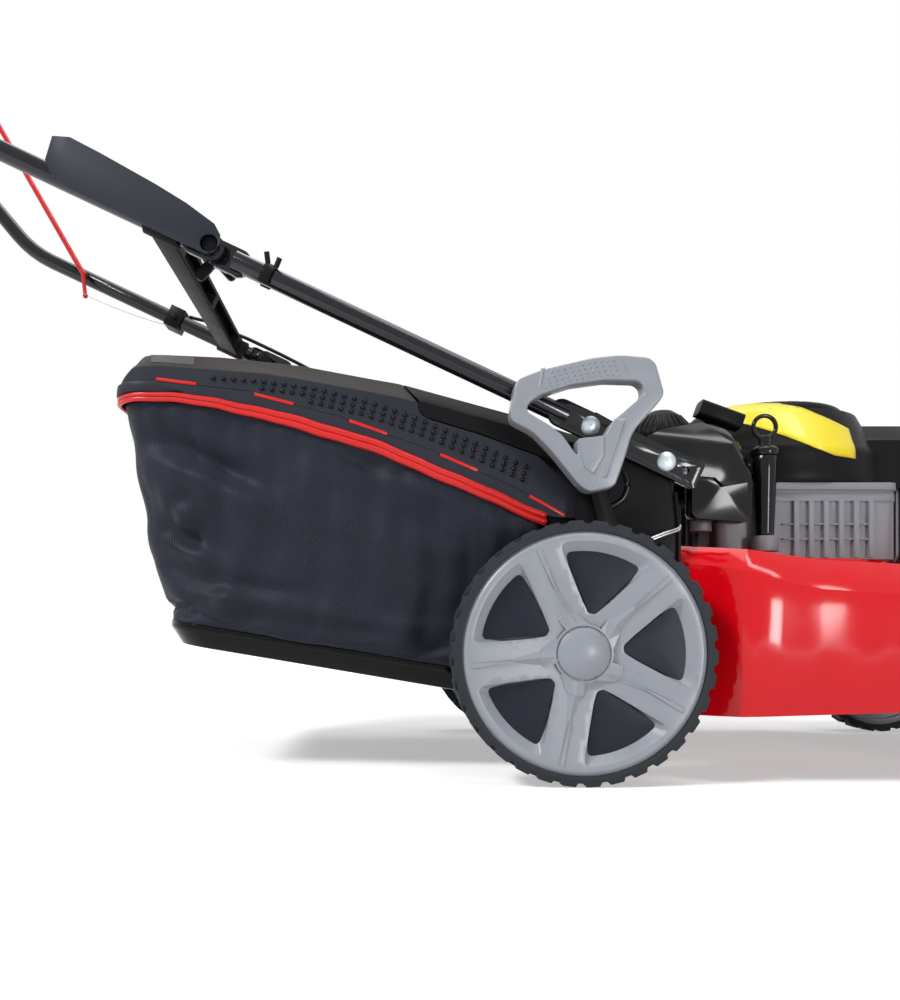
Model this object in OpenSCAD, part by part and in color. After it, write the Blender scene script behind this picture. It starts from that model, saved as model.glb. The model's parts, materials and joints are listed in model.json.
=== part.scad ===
// Rotary lawn mower with a rear grass bag, four wheels and a height lever.
// X runs forward, Y to the mower's left, Z up from the ground. Millimetres.

/* [Wheels] */
// Radius of each rear wheel
rear_r = 140; // [130:1:150]
// Radius of each front wheel
front_r = 100; // [90:1:105]
// Width of each wheel
wheel_w = 42; // [38:1:46]
// Distance between the outer faces of a pair of wheels
track = 560; // [556:1:580]
// Distance between the front and rear axles
wheelbase = 585; // [582:1:590]
// Tread blocks round a tyre
lugs = 34; // [24:1:40]

/* [Deck] */
// Length of the blade from tip to tip
blade_len = 508; // [480:1:510]
// Height of the deck's lower edge behind the front of the rear wheel
lip_z = 71; // [66:1:74]
// Half of the deck's widest part
wide_half = 265; // [260:1:268]

/* [Handle] */
// Slope of the handle's lower part
handle_angle = 25.2; // [24:0.1:27]
// Outer diameter of the handle tube
tube_d = 22; // [20:1:24]
// Distance between the handle's two tubes
tube_gap = 430; // [428:1:434]

/* [Height adjustment] */
// Length of the swing arms that carry the wheels
arm_len = 72; // [66:1:76]
// Angle of the arms below level when the deck stands highest
arm_angle = 20; // [16:1:22]

/* [Hidden] */
$fn = 48;
blade_x = 300;                      // blade centre, forward of the rear axle
front_x = wheelbase;
tube_y = tube_gap / 2;
wheel_in = track / 2 - wheel_w;     // inner face of a wheel
axle_r = 6;
bore_gap = 0.06;
pivot_dx = arm_len * cos(arm_angle);
pivot_dz = arm_len * sin(arm_angle);
rear_pivot = [pivot_dx, rear_r + pivot_dz];
front_pivot = [front_x + pivot_dx, front_r + pivot_dz];
bolt_low = [102, 351.5];            // lower bolt of the handle
bolt_gap = 93;                      // to the upper bolt
joint_at = 558;                     // from the lower bolt to the folding joint
flat_h = 30;                        // height of the tube where it is pressed flat
flat_w = 8;
bracket_y = 215;                    // outer face of the handle brackets
fold = on_tube(joint_at);
engine_z = 250;                     // top of the deck under the engine
blade_z = 104;
bag_half = 197;

// ---- helpers -------------------------------------------------------------

// A point on the handle tube, at a distance up from the lower bolt and a height off the line
function on_tube(d, off = 0) = [
    bolt_low[0] - d * cos(handle_angle) + off * sin(handle_angle),
    bolt_low[1] + d * sin(handle_angle) + off * cos(handle_angle)];
function smooth(a, b, x) = let (t = max(0, min(1, (x - a) / (b - a)))) t * t * (3 - 2 * t);
function arc(c, r, a0, a1, n) = [for (i = [0:n]) let (a = a0 + (a1 - a0) * i / n)
    [c[0] + r * cos(a), c[1] + r * sin(a)]];

// The mower's own coordinates start under the rear axle
module placed() { translate([rear_x, 0, 0]) children(); }
// Both sides of the mower
module sides() { children(); mirror([0, 1, 0]) children(); }
// A flat shape drawn in X and Z, as thick as the gap between two values of Y
module plate(y0, y1) {
    translate([0, max(y0, y1), 0]) rotate([90, 0, 0]) linear_extrude(abs(y1 - y0)) children();
}
// A round bar across the mower
module bar_y(p, r, y0, y1) {
    translate([p[0], max(y0, y1), p[1]]) rotate([90, 0, 0]) cylinder(r = r, h = abs(y1 - y0));
}
// A straight round rod between two points
module rod(a, b, r) {
    d = b - a;
    len = norm(d);
    translate(a) rotate([0, acos(d[2] / len), atan2(d[1], d[0])]) cylinder(r = r, h = len);
}
// A strip with round ends between two points
module slot2(a, b, r) {
    hull() { translate(a) circle(r); translate(b) circle(r); }
}
// A closed skin over rings of points, each anticlockwise seen from the end the rings run to;
// the two end rings are closed by strips between their mirrored halves
module skin(rings) {
    n = len(rings[0]);
    m = len(rings);
    pts = [for (r = rings) each r];
    sides = [for (j = [0:m - 2]) for (i = [0:n - 1]) let (k = (i + 1) % n)
        each [[j * n + i, (j + 1) * n + k, j * n + k], [j * n + i, (j + 1) * n + i, (j + 1) * n + k]]];
    e = (m - 1) * n;
    caps = [for (i = [0:n / 2 - 2])
        each [[i, i + 1, n - 2 - i], [i, n - 2 - i, n - 1 - i],
              [e + i, e + n - 2 - i, e + i + 1], [e + i, e + n - 1 - i, e + n - 2 - i]]];
    polyhedron(pts, concat(sides, caps));
}
// A skin that goes up outside and comes back inside, joined at both rims
module wall_skin(rings) {
    n = len(rings[0]);
    m = len(rings);
    pts = [for (r = rings) each r];
    polyhedron(pts, [for (j = [0:m - 1]) for (i = [0:n - 1]) let (k = (i + 1) % n, l = (j + 1) % m)
        each [[j * n + i, l * n + k, j * n + k], [j * n + i, l * n + i, l * n + k]]]);
}
// A round bar swept along points, with an n-sided section
module sweep(path, r, sides = 8) {
    last = len(path) - 1;
    rings = [for (i = [0:last]) let (
            d = path[min(i + 1, last)] - path[max(i - 1, 0)],
            t = d / norm(d),
            u0 = abs(t[1]) < 0.9 ? cross(t, [0, 1, 0]) : cross(t, [1, 0, 0]),
            u = u0 / norm(u0), v = cross(t, u))
        [for (k = [0:sides - 1]) path[i] + r * (cos(360 * k / sides) * u + sin(360 * k / sides) * v)]];
    skin(rings);
}

// ---- wheels --------------------------------------------------------------

// Outline of one of the five windows in a wheel, widest at the rim
module window(r_in, r_out, half) {
    offset(5, $fn = 24) offset(-5) polygon(concat(
        arc([0, 0], r_out, -half, half, 8),
        [[r_in + (r_out - r_in) * 0.42, r_in * 0.40 + 5], [r_in, 4], [r_in, -4],
         [r_in + (r_out - r_in) * 0.42, -r_in * 0.40 - 5]]));
}
// A plastic wheel lying on XY with its outer face up; a blind bore takes the axle from below
module rim(r, w) {
    rim_r = r - 11.4;
    web = w * 0.55;                 // thickness of the closed disc behind the spokes
    dome = r * 0.2 + 12;
    difference() {
        rotate_extrude() polygon(concat(
            [[0, 0], [15, 0], [15, 10], [rim_r - 9, 10], [rim_r - 9, 2], [rim_r, 2],
             [rim_r, w - 3], [rim_r - 5, w], [rim_r - 13, w - 0.5], [r * 0.34, w - 9]],
            arc([0, w - 2 - dome], dome, 50, 90, 6)));
        for (a = [0:72:288]) rotate([0, 0, a + 6]) hull() {
            translate([0, 0, w + 1]) linear_extrude(0.1) window(r * 0.29, r * 0.855, 25.5);
            translate([0, 0, web]) linear_extrude(0.1) window(r * 0.32, r * 0.72, 19);
        }
        translate([0, 0, -1]) cylinder(r = axle_r + bore_gap, h = w - 9);
    }
}
// The tread, two rows of blocks half a pitch apart, on a thin band
module tyre(r, w, n) {
    pitch = 360 / n;
    inner = r - 11.2;
    module row(z, h, turn) {
        translate([0, 0, z]) linear_extrude(h) difference() {
            polygon([for (i = [0:n - 1]) each [
                for (s = [[0.08, 0], [0.62, 0], [0.72, 4], [0.98, 4]])
                    (r - s[1]) * [cos((i + s[0] + turn) * pitch), sin((i + s[0] + turn) * pitch)]]]);
            circle(inner + 0.2, $fn = 96);
        }
    }
    row(0.6, w * 0.42, 0);
    row(w * 0.58 - 0.6, w * 0.42, 0.5);
    rotate_extrude($fn = 96) polygon([[inner, 0.3], [r - 6, 0.3], [r - 4.6, 1.4], [r - 4.6, w - 1.4],
        [r - 6, w - 0.3], [inner, w - 0.3]]);
}
// Puts a wheel on its axle, outer face away from the mower
module on_right(x, r) { placed() translate([x, -wheel_in, r]) rotate([90, 0, 0]) children(); }
module on_left(x, r) { mirror([0, 1, 0]) on_right(x, r) children(); }

module rear_rim_right() { color([0.56, 0.58, 0.61]) on_right(0, rear_r) rim(rear_r, wheel_w); }
module rear_rim_left() { color([0.56, 0.58, 0.61]) on_left(0, rear_r) rim(rear_r, wheel_w); }
module front_rim_right() { color([0.56, 0.58, 0.61]) on_right(front_x, front_r) rim(front_r, wheel_w); }
module front_rim_left() { color([0.56, 0.58, 0.61]) on_left(front_x, front_r) rim(front_r, wheel_w); }
module rear_tyre_right() { color([0.14, 0.14, 0.15]) on_right(0, rear_r) tyre(rear_r, wheel_w, lugs); }
module rear_tyre_left() { color([0.14, 0.14, 0.15]) on_left(0, rear_r) tyre(rear_r, wheel_w, lugs); }
module front_tyre_right() { color([0.14, 0.14, 0.15]) on_right(front_x, front_r) tyre(front_r, wheel_w, lugs - 10); }
module front_tyre_left() { color([0.14, 0.14, 0.15]) on_left(front_x, front_r) tyre(front_r, wheel_w, lugs - 10); }

// ---- deck ----------------------------------------------------------------

deck_rear = -22;
nose_x = 676;
nose_r = 56;
nose_half = 222;
function half_width(x) = 205 + (wide_half - 205) * smooth(104, 182, x)
    - (wide_half - nose_half) * smooth(408, 484, x);
// The deck's outline moved inwards by d and by a share k of the ridge's distance from the edge,
// anticlockwise from the right rear corner
function deck_edge(d, k = 0) = let (
    n = 30,
    right = concat(
        [for (i = [0:n]) let (x = deck_rear + (nose_x - nose_r - deck_rear) * i / n, e = d + k * ridge_in(x))
            [x + e * (1 - i / n), e - half_width(x)]],
        arc([nose_x - nose_r, nose_r - nose_half], nose_r - d - k * ridge_in(nose_x), -78, 0, 7)))
    concat(right, [for (i = [len(right) - 1:-1:0]) [right[i][0], -right[i][1]]]);
function deck_lip(x) = lip_z + 0.03 * (x - 138);
function shoulder_z(x) = lookup(x, [[-22, 246], [115, 244], [250, 209], [450, 196], [560, 184], [676, 174]]);
function ridge_z(x) = lookup(x, [[-22, 262], [121, 261], [263, 242], [450, 233], [560, 218], [676, 198]]);
function ridge_in(x) = lookup(x, [[-22, 9], [115, 12], [250, 30], [450, 38], [676, 30]]);
// Rings of the pressed steel deck from its lip to its top; t is how far inside the outer face they lie
function deck_rings(t) = [
    [for (p = deck_edge(t)) [p[0], p[1], deck_lip(p[0])]],
    [for (p = deck_edge(4 + t)) [p[0], p[1], shoulder_z(p[0])]],
    [for (p = deck_edge(t * 0.6, 1)) [p[0], p[1], ridge_z(p[0]) - t]],
    [for (p = deck_edge(46 + t)) [p[0], p[1], min(ridge_z(p[0]), 246) - t]]];

function turned(rings) = [for (i = [len(rings) - 1:-1:0]) rings[i]];

module deck_shell() {
    color([0.80, 0.03, 0.08]) placed() difference() {
        union() {
            skin(concat(turned(deck_rings(3)), deck_rings(0)));
            translate([blade_x, 0, engine_z - 16]) cylinder(r = 150, h = 16, $fn = 96);
        }
        translate([blade_x, 0, 200]) cylinder(r = 24, h = 80);                       // crankshaft
        for (a = [60, 180, 300]) translate([blade_x, 0, 200]) rotate([0, 0, a])
            translate([95, 0, 0]) cylinder(r = 4.3, h = 80);                          // engine bolts
        translate([-60, -260, 0]) cube([104, 520, 203]);                              // room for the rear axle
        translate([571, -260, 0]) cube([140, 520, 166]);                              // room for the front axle
        translate([-40, -189, 150]) cube([151, 378, 200]);                            // grass outlet
    }
}

bumper_out = 14;
module front_bumper() {
    // plastic bumper bar across the nose, above the front axle
    bow = 1100;
    color([0.10, 0.10, 0.11]) placed() difference() {
        intersection() {
            translate([nose_x + bumper_out - bow, 0, 140]) cylinder(r = bow, h = 60, $fn = 180);
            translate([nose_x + 0.2, -160, 140]) cube([40, 320, 60]);
        }
        for (z = [156:14:184]) translate([nose_x + bumper_out + 5, 0, z]) cube([16, 400, 5], center = true);
    }
}

module chamber_baffle() {
    // curved steel wall that closes the blade's chamber in front and behind
    color([0.12, 0.12, 0.13]) placed() {
        translate([blade_x, 0, 78]) linear_extrude(70) polygon(concat(
            arc([0, 0], 264, 151, 209, 16), arc([0, 0], 261.5, 209, 151, 16)));
        translate([blade_x, 0, 84]) linear_extrude(124) polygon(concat(
            arc([0, 0], 268, -44, 44, 24), arc([0, 0], 265.5, 44, -44, 24)));
    }
}

// Side view of the duct that lifts the grass from the blade into the bag
duct_side = [[-22, 205], [43, 151], [110, 151], [110, 262], [34, 366], [-22, 372]];
module discharge_chute() {
    color([0.10, 0.10, 0.11]) placed() {
        difference() {
            plate(-187, 187) polygon(duct_side);
            plate(-184, 184) polygon([[-40, 223], [43, 154.5], [44, 140], [140, 140], [140, 215],
                [107, 262], [32, 362], [-40, 368]]);
            translate([90, -170, 100]) cube([60, 340, 151]);
        }
        // ears that carry the flap's hinge rod
        for (y = [-150, 141]) difference() {
            plate(y, y + 9) hull() { translate([26, 360]) square([24, 2]); translate(flap_pin) circle(8); }
            bar_y(flap_pin, 3, y - 1, y + 10);
        }
    }
}

flap_pin = [38, 386];
module flap_rod() {
    color([0.75, 0.76, 0.78]) placed() bar_y(flap_pin, 3, -176, 176);
}

// Side sheets that hold the handle, bolted to the deck's shoulders
module handle_brackets() {
    color([0.07, 0.07, 0.08]) placed() sides() difference() {
        union() {
            plate(-bracket_y, -bracket_y + 3) polygon([[2, 262], [8, 400], [26, 408],
                on_tube(-12, 12), [112, 322], [116, 272], [116, 226], [96, 222], [20, 222]]);
            plate(-bracket_y - 5, -bracket_y + 3) polygon([[112, 318], [115, 318], [119, 272],
                [119, 240], [116, 240], [116, 272]]);
            translate([20, -bracket_y, 222]) cube([76, 13, 4]);
        }
        bar_y(bolt_low, 4.2, -240, -200);
        bar_y(on_tube(bolt_gap), 4.2, -240, -200);
    }
}

lever_turn = 30;                     // from the highest to the lowest cut
module height_quadrant() {
    // notched arc on the right bracket that the lever's plate clicks into
    slots = 5;
    color([0.08, 0.08, 0.09]) placed() plate(-bracket_y - 5, -bracket_y - 0.02) translate(rear_pivot) difference() {
        polygon(concat(arc([0, 0], 102, 114, 68, 20), arc([0, 0], 88, 68, 114, 20)));
        for (i = [0:slots - 1]) rotate(105 - i * lever_turn / (slots - 1))
            translate([95, 0]) square([6, 6], center = true);
    }
}

arm_y = [224.6, 229];                // inner and outer face of the swing arms
module pivot_brackets() {
    // four stub pins on the deck that the swing arms turn on
    color([0.16, 0.16, 0.17]) placed() sides() {
        plate(-208.6, -203.6) polygon([[46, 221.9], [46, 160], [60, 146], [78, 146], [92, 160], [92, 221.9]]);
        bar_y(rear_pivot, 14, -223.8, -208.5);
        bar_y(rear_pivot, 8, -231, -220);
        plate(-nose_half - 0.3, -nose_half + 2.7) polygon([[620, 172], [628, 118], [645, 106], [661, 106],
            [674, 118], [674, 172]]);
        bar_y(front_pivot, 14, -223.8, -nose_half);
        bar_y(front_pivot, 8, -231, -nose_half - 0.2);
    }
}

// ---- handle --------------------------------------------------------------

// Flattened end of a tube, as a flat bar with round ends along the handle's line
module flat_end(d0, d1, y0, y1) {
    plate(y0, y1) slot2(on_tube(d0), on_tube(d1), flat_h / 2);
}
lower_flat = [-41, 128];
flat_start = joint_at - 32;         // where the lower tube is pressed flat for the joint
module lower_handle() {
    color([0.05, 0.05, 0.06]) placed() sides() difference() {
        union() {
            plate(-bracket_y - flat_w - 0.02, -bracket_y - 0.02) hull() {
                for (h = [-1, 1]) translate(on_tube(lower_flat[0] + 3, h * (flat_h / 2 - 3))) circle(3);
                translate(on_tube(lower_flat[1])) circle(flat_h / 2);
            }
            rod(tube_point(120), tube_point(flat_start + 4), tube_d / 2);
            flat_end(flat_start, joint_at, -tube_y + 0.6, -tube_y + 0.6 + flat_w);
        }
        bar_y(bolt_low, 4.2, -240, -190);
        bar_y(on_tube(bolt_gap), 4.2, -240, -190);
        bar_y(on_tube(-23.5), 4.2, -240, -190);
        bar_y(fold, 4.2, -240, -190);
    }
}
function tube_point(d) = let (p = on_tube(d)) [p[0], -tube_y, p[1]];

module handle_bolts() {
    // carriage bolts with domed heads outside and nuts inside
    color([0.72, 0.75, 0.78]) placed() sides() for (d = [0, bolt_gap]) {
        p = on_tube(d);
        head = -bracket_y - flat_w - 0.05;
        bar_y(p, 4, head + 0.5, -204);
        translate([p[0], head, p[1]]) rotate([90, 0, 0]) intersection() {
            translate([0, 0, -11.2]) sphere(r = 15.7, $fn = 64);
            cylinder(r = 11, h = 6);
        }
        translate([p[0], -211.98, p[1]]) rotate([-90, 0, 0]) cylinder(r = 7, h = 6, $fn = 6);
    }
}

module rope_guide() {
    // clip with two prongs that the starter rope can hang in
    p = on_tube(489);
    color([0.06, 0.06, 0.07]) placed() translate([p[0], -tube_y, p[1]]) rotate([0, handle_angle, 0]) {
        rotate([0, 90, 0]) difference() {
            cylinder(r = tube_d / 2 + 2.4, h = 12, center = true);
            cylinder(r = tube_d / 2 + 0.02, h = 20, center = true);
            translate([tube_d, 0, 0]) cube([tube_d + 8, 14, 30], center = true);
        }
        for (s = [-1, 1]) rod([s * 5, -4, tube_d / 2 + 1], [s * 8 - 3, -6, tube_d / 2 + 11], 3);
    }
}

// Centre line of the upper handle's right side, from the joint up to the grip
bend_at = 930;                      // from the lower bolt to the start of the bend
bend_r = 160;
bend_angle = 25;
end_len = 150;
grip_corner = 60;
bend_c = on_tube(bend_at, bend_r);
bend_end = bend_c - bend_r * [sin(handle_angle + bend_angle), cos(handle_angle + bend_angle)];
grip_slope = handle_angle + bend_angle;
function past_bend(d) = bend_end + d * [-cos(grip_slope), sin(grip_slope)];
grip_at = past_bend(end_len + grip_corner);
foam_r = tube_d / 2 + 4.5;
rear_x = (foam_r - grip_at[0] - nose_x - bumper_out) / 2;   // rear axle, forward of the middle of the mower

module upper_handle() {
    color([0.05, 0.05, 0.06]) placed() {
        sides() difference() {
            union() {
                flat_end(joint_at, joint_at + 20, -tube_y - flat_w, -tube_y);
                rod(tube_point(joint_at + 24), tube_point(bend_at + 0.01), tube_d / 2);
                translate([bend_c[0], -tube_y, bend_c[1]]) rotate([90, 0, 0])
                    rotate([0, 0, 270 - handle_angle - bend_angle])
                        rotate_extrude(angle = bend_angle) translate([bend_r, 0]) circle(tube_d / 2);
                end_leg();
            }
            bar_y(fold, 4.2, -240, -190);
            bar_y(bail_pin, bail_r + bore_gap, -tube_y + tube_d / 2 - bail_in - 0.2, -190);
        }
        bar_y(grip_at, tube_d / 2, -tube_y + grip_corner - 0.01, tube_y - grip_corner + 0.01);
    }
}
// Straight leg past the bend and the quarter turn into the grip bar
module end_leg() {
    translate([bend_end[0], -tube_y, bend_end[1]]) rotate([0, grip_slope - 90, 0]) {
        translate([0, 0, -0.01]) cylinder(r = tube_d / 2, h = end_len + 0.02);
        translate([0, grip_corner, end_len]) rotate([0, -90, 0]) rotate([0, 0, -90])
            rotate_extrude(angle = 90) translate([grip_corner, 0]) circle(tube_d / 2);
    }
}

module foam_grip() {
    color([0.09, 0.09, 0.10]) placed() difference() {
        bar_y(grip_at, foam_r, -140, 140);
        bar_y(grip_at, tube_d / 2 + 0.02, -141, 141);
    }
}

brace_at = joint_at + 57;
module console_brace() {
    // moulded channel that ties the two tubes together just above the joint
    p = on_tube(brace_at);
    color([0.06, 0.06, 0.07]) placed() difference() {
        translate([p[0], 0, p[1]]) rotate([0, handle_angle, 0]) {
            difference() {
                cube([30, 2 * tube_y - 20, 24], center = true);
                for (y = [-1, 1]) translate([9, y * 88, 0]) cube([16, 160, 16], center = true);
            }
            sides() {
                translate([0, -tube_y, 0]) rotate([0, 90, 0]) cylinder(r = 15, h = 42, center = true);
                difference() {
                    translate([4, -tube_y + 8, -9]) cube([22, 30, 18]);
                    translate([26, -tube_y + 38, -20]) cylinder(r = 20, h = 40);
                }
            }
        }
        sides() rod(tube_point(joint_at), tube_point(joint_at + 140), tube_d / 2 + 0.02);
    }
}

hood_len = 205;
module control_hood() {
    // moulded cover over the right tube above the joint, tapering up the handle
    p = fold;
    color([0.17, 0.18, 0.22]) placed() difference() {
        translate([p[0], 0, p[1]]) rotate([0, handle_angle, 0]) difference() {
            plate(-tube_y - 19, -tube_y + 17) polygon([[2, -12], [9, -6], [11, 4], [7, 14], [-3, 21.5],
                [-40, 29], [-80, 33.5], [-150, 38.5], [18 - hood_len, 40], [-hood_len, 33],
                [4 - hood_len, 6], [16 - hood_len, -5], [40 - hood_len, -11.5]]);
            plate(-tube_y - 15.5, -tube_y + 30) polygon([[20, -30], [20, 9], [-5, 17.5], [-40, 25.3],
                [-80, 29.8], [-150, 34.8], [20 - hood_len, 36.2], [4 - hood_len, 30], [8 - hood_len, 7],
                [18 - hood_len, -1], [24 - hood_len, -30]]);
            // only the outer side covers the joint, so the handle can fold
            translate([-60, -tube_y - 15.6, -40]) cube([100, 60, 90]);
            translate([0, -tube_y - 20, 0]) rotate([-90, 0, 0]) cylinder(r = 10, h = 8);
        }
        rod(tube_point(joint_at - 10), tube_point(joint_at + 260), tube_d / 2 + 0.4);
        q = on_tube(brace_at);
        translate([q[0], 10 - tube_y, q[1]]) rotate([0, handle_angle, 0]) cube([43, 51, 33], center = true);
    }
}

clamp_at = joint_at + 155;
module cable_clamp() {
    p = on_tube(clamp_at);
    color([0.08, 0.08, 0.09]) placed() translate([p[0], tube_y, p[1]]) rotate([0, handle_angle, 0]) difference() {
        union() {
            cube([24, 34, 32], center = true);
            translate([0, -19, 0]) rotate([90, 0, 0]) cylinder(r = 4, h = 3, center = true);
        }
        rotate([0, 90, 0]) cylinder(r = tube_d / 2 + 0.02, h = 40, center = true);
    }
}

// Brake cable: sheath from the clamp down the left tube to the engine
cable_r = 2.8;
cable_path = concat(
    [for (d = [clamp_at - 14:-12:joint_at + 90]) tube_side(d, 19.6 - 5 * smooth(672, 699, d), 6)],
    [for (d = [joint_at + 40:-30:150]) tube_side(d, 14.6 + 5 * smooth(400, 560, d), -8)],
    [[60, 188, 408], [84, 170, 420], [112, 150, 428], [150, 138, 428]]);
function tube_side(d, off, dy) = let (p = on_tube(d, off)) [p[0], tube_y + dy, p[1]];
module brake_cable() {
    color([0.04, 0.04, 0.05]) placed() sweep(cable_path, cable_r, 8);
}

bail_at = bend_at - 60;
bail_pin = on_tube(bail_at);
bail_r = 4;
bail_open = 17;                     // degrees forward of the grip when it is let go
bail_y = tube_y - 22;
bail_in = 6;                        // depth of its pins in the tubes
module bail() {
    // wire loop across the handle that must be held for the engine to run
    v = grip_at - bail_pin;
    top = bail_pin + [v[0] * cos(bail_open) + v[1] * sin(bail_open), v[1] * cos(bail_open) - v[0] * sin(bail_open)];
    tail = bail_pin + [4, -36];
    color([0.75, 0.06, 0.06]) placed() {
        bar_y(top, bail_r, -bail_y, bail_y);
        sides() {
            rod([bail_pin[0], -bail_y, bail_pin[1]], [top[0], -bail_y, top[1]], bail_r);
            for (p = [top, bail_pin]) translate([p[0], -bail_y, p[1]]) sphere(r = bail_r);
            bar_y(bail_pin, bail_r, -tube_y + tube_d / 2 - bail_in, -bail_y);
        }
        rod([bail_pin[0], bail_y, bail_pin[1]], [tail[0], bail_y, tail[1]], 3);
        translate([tail[0], bail_y, tail[1]]) sphere(r = bail_r);
    }
}

module wing_knob(side) {
    // wing nut inside the joint, with its bolt and the bolt's round cap outside
    through = 2 * flat_w + 3;
    color([0.05, 0.05, 0.06]) placed() translate([fold[0], side * (tube_y - flat_w - 0.9), fold[1]])
        rotate([side * 90, 0, 0]) {
            cylinder(r = 9, h = 16);
            translate([0, 0, 10]) linear_extrude(7) for (x = [-17, 17]) hull() {
                circle(6);
                translate([x, -side * 20]) circle(5.5);
            }
            translate([0, 0, -through]) cylinder(r = 4.12, h = through + 1);
            translate([0, 0, -through - 3.4]) cylinder(r = 8.5, h = 3.9);
        }
}
module wing_knob_right() { wing_knob(-1); }
module wing_knob_left() { wing_knob(1); }

// ---- engine --------------------------------------------------------------

dip_at = [blade_x - 58, -146];
module crankcase() {
    color([0.52, 0.52, 0.55]) placed() difference() {
        union() {
            translate([blade_x, 0, engine_z]) {
                cylinder(r = 118, h = 11.5, $fn = 96);
                linear_extrude(91.9) offset(14, $fn = 32) square([190, 236], center = true);
                // two ledges round the top and ribs below them
                translate([0, 0, 70]) linear_extrude(10) offset(14, $fn = 32) square([190, 240], center = true);
                translate([0, 0, 83]) linear_extrude(8.9) offset(14, $fn = 32) square([190, 246], center = true);
                for (y = [-100:25:100]) translate([0, y, 40]) cube([224, 4, 78], center = true);
                for (x = [-16:18:74]) translate([x, -19, 36]) cube([6, 238, 68], center = true);
                for (z = [24, 42]) translate([20, 0, z]) cube([104, 272, 2], center = true);
            }
            translate([dip_at[0], dip_at[1], engine_z + 8]) cylinder(r = 16, h = 18);
        }
        translate([blade_x, 0, engine_z - 1]) cylinder(r = 12.5 + bore_gap, h = 100);
        translate([dip_at[0], dip_at[1], engine_z + 12]) cylinder(r = 8.02, h = 20);
        translate([dip_at[0], dip_at[1], engine_z + 26]) cylinder(r = 14.4, h = 80);
    }
}

// Barrel and head of the engine, lying forward from the crankcase
barrel_z = engine_z + 52;
module cylinder_barrel() {
    color([0.50, 0.50, 0.53]) placed() translate([blade_x, 0, barrel_z]) rotate([0, 90, 0]) {
        translate([0, 0, 113.05]) linear_extrude(90) offset(10, $fn = 32) square([60, 60], center = true);
        for (x = [120:9:183]) translate([0, 0, x])
            linear_extrude(3.2) offset(12, $fn = 32) square([76, 92], center = true);
        translate([0, 0, 194]) linear_extrude(26) offset(14, $fn = 32) square([50, 74], center = true);
    }
}

module spark_plug() {
    color([0.10, 0.10, 0.11]) placed() translate([blade_x + 220.05, 0, barrel_z]) {
        rotate([0, 90, 0]) rotate_extrude() polygon([[0, 0], [11, 0], [11, 8], [7, 9], [7, 22], [10, 24],
            [10, 40], [8, 44], [0, 44]]);
        translate([30, 0, 0]) cylinder(r = 7, h = 34);
    }
}

shroud_r = 140;
module blower_shroud() {
    // pressed cover over the flywheel and the barrel
    color([0.09, 0.09, 0.10]) placed() translate([blade_x, 0, engine_z]) difference() {
        union() {
            rotate_extrude($fn = 96) polygon(concat([[0, 92], [shroud_r, 92], [shroud_r + 2, 98]],
                arc([shroud_r - 22, 128], 22, -8, 42, 6), [[112, 188], [0, 188]]));
            hull() {
                translate([20, -92, 92]) cube([190, 184, 60]);
                translate([20, -62, 92]) cube([176, 124, 84]);
            }
        }
        rotate_extrude($fn = 96) polygon(concat([[0, 91], [shroud_r - 4, 91], [shroud_r - 3, 98]],
            arc([shroud_r - 24, 126], 19, -8, 42, 6), [[108, 176], [0, 176]]));
        translate([100, -86, 91]) cube([104, 172, 58]);
        cylinder(r = 64, h = 300);
    }
}

module recoil_cover() {
    // starter housing with rings of cooling slots
    color([0.07, 0.07, 0.08]) placed() translate([blade_x, 0, engine_z + 188.05]) difference() {
        rotate_extrude($fn = 96) polygon(concat([[0, 0], [100, 0], [100, 3]], arc([86, 3], 11, 0, 75, 6),
            [[40, 17.3], [0, 18.5]]));
        for (ring = [[84, 30], [66, 24]], i = [0:ring[1] - 1]) rotate([0, 0, i * 360 / ring[1]])
            translate([ring[0], 0, 4]) rotate([0, 0, 18]) cube([13, 4.5, 60], center = true);
        translate([0, 0, -1]) cylinder(r = 56, h = 14);
        translate([-70, -86, 4]) rotate([0, 0, 50]) cube([60, 20, 14], center = true);
    }
}

module fuel_tank() {
    color([0.08, 0.08, 0.09]) placed() difference() {
        union() {
            translate([0, 0, 344]) linear_extrude(44) offset(18, $fn = 32) polygon([[100, -84], [100, 92],
                [134, 116], [134, -106]]);
            hull() {
                translate([0, 0, 387]) linear_extrude(2) offset(18, $fn = 32) polygon([[100, -84], [100, 92],
                    [132, 114], [132, -104]]);
                translate([0, 0, 402]) linear_extrude(2) offset(12, $fn = 32) polygon([[108, -80], [108, 86],
                    [130, 104], [130, -98]]);
            }
            translate([cap_at[0], cap_at[1], 344]) cylinder(r = 25.4, h = 63);
        }
        translate([cap_at[0], cap_at[1], 360]) cylinder(r = 23, h = 60);
    }
}
cap_at = [144, -62];

module fuel_cap() {
    // large ribbed cap, screwed down on the neck
    color([0.13, 0.13, 0.14]) placed() translate([cap_at[0], cap_at[1], 407.3]) {
        difference() {
            union() {
                rotate_extrude() polygon([[0, 0], [39, 0], [39, 8], [35.5, 15], [30, 22], [22, 31], [14, 36.5],
                    [7, 38.2], [0, 38.5]]);
                for (a = [0:12:348]) rotate([0, 0, a + 6]) rotate([90, 0, 0]) linear_extrude(3, center = true)
                    polygon([[30, 3], [40, 3], [40, 9], [36.5, 16.5], [25, 29.6], [22, 26]]);
            }
            translate([0, 0, -1]) cylinder(r = 30, h = 4);
        }
        translate([0, 0, -16]) cylinder(r = 22.8, h = 20);
    }
}

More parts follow.
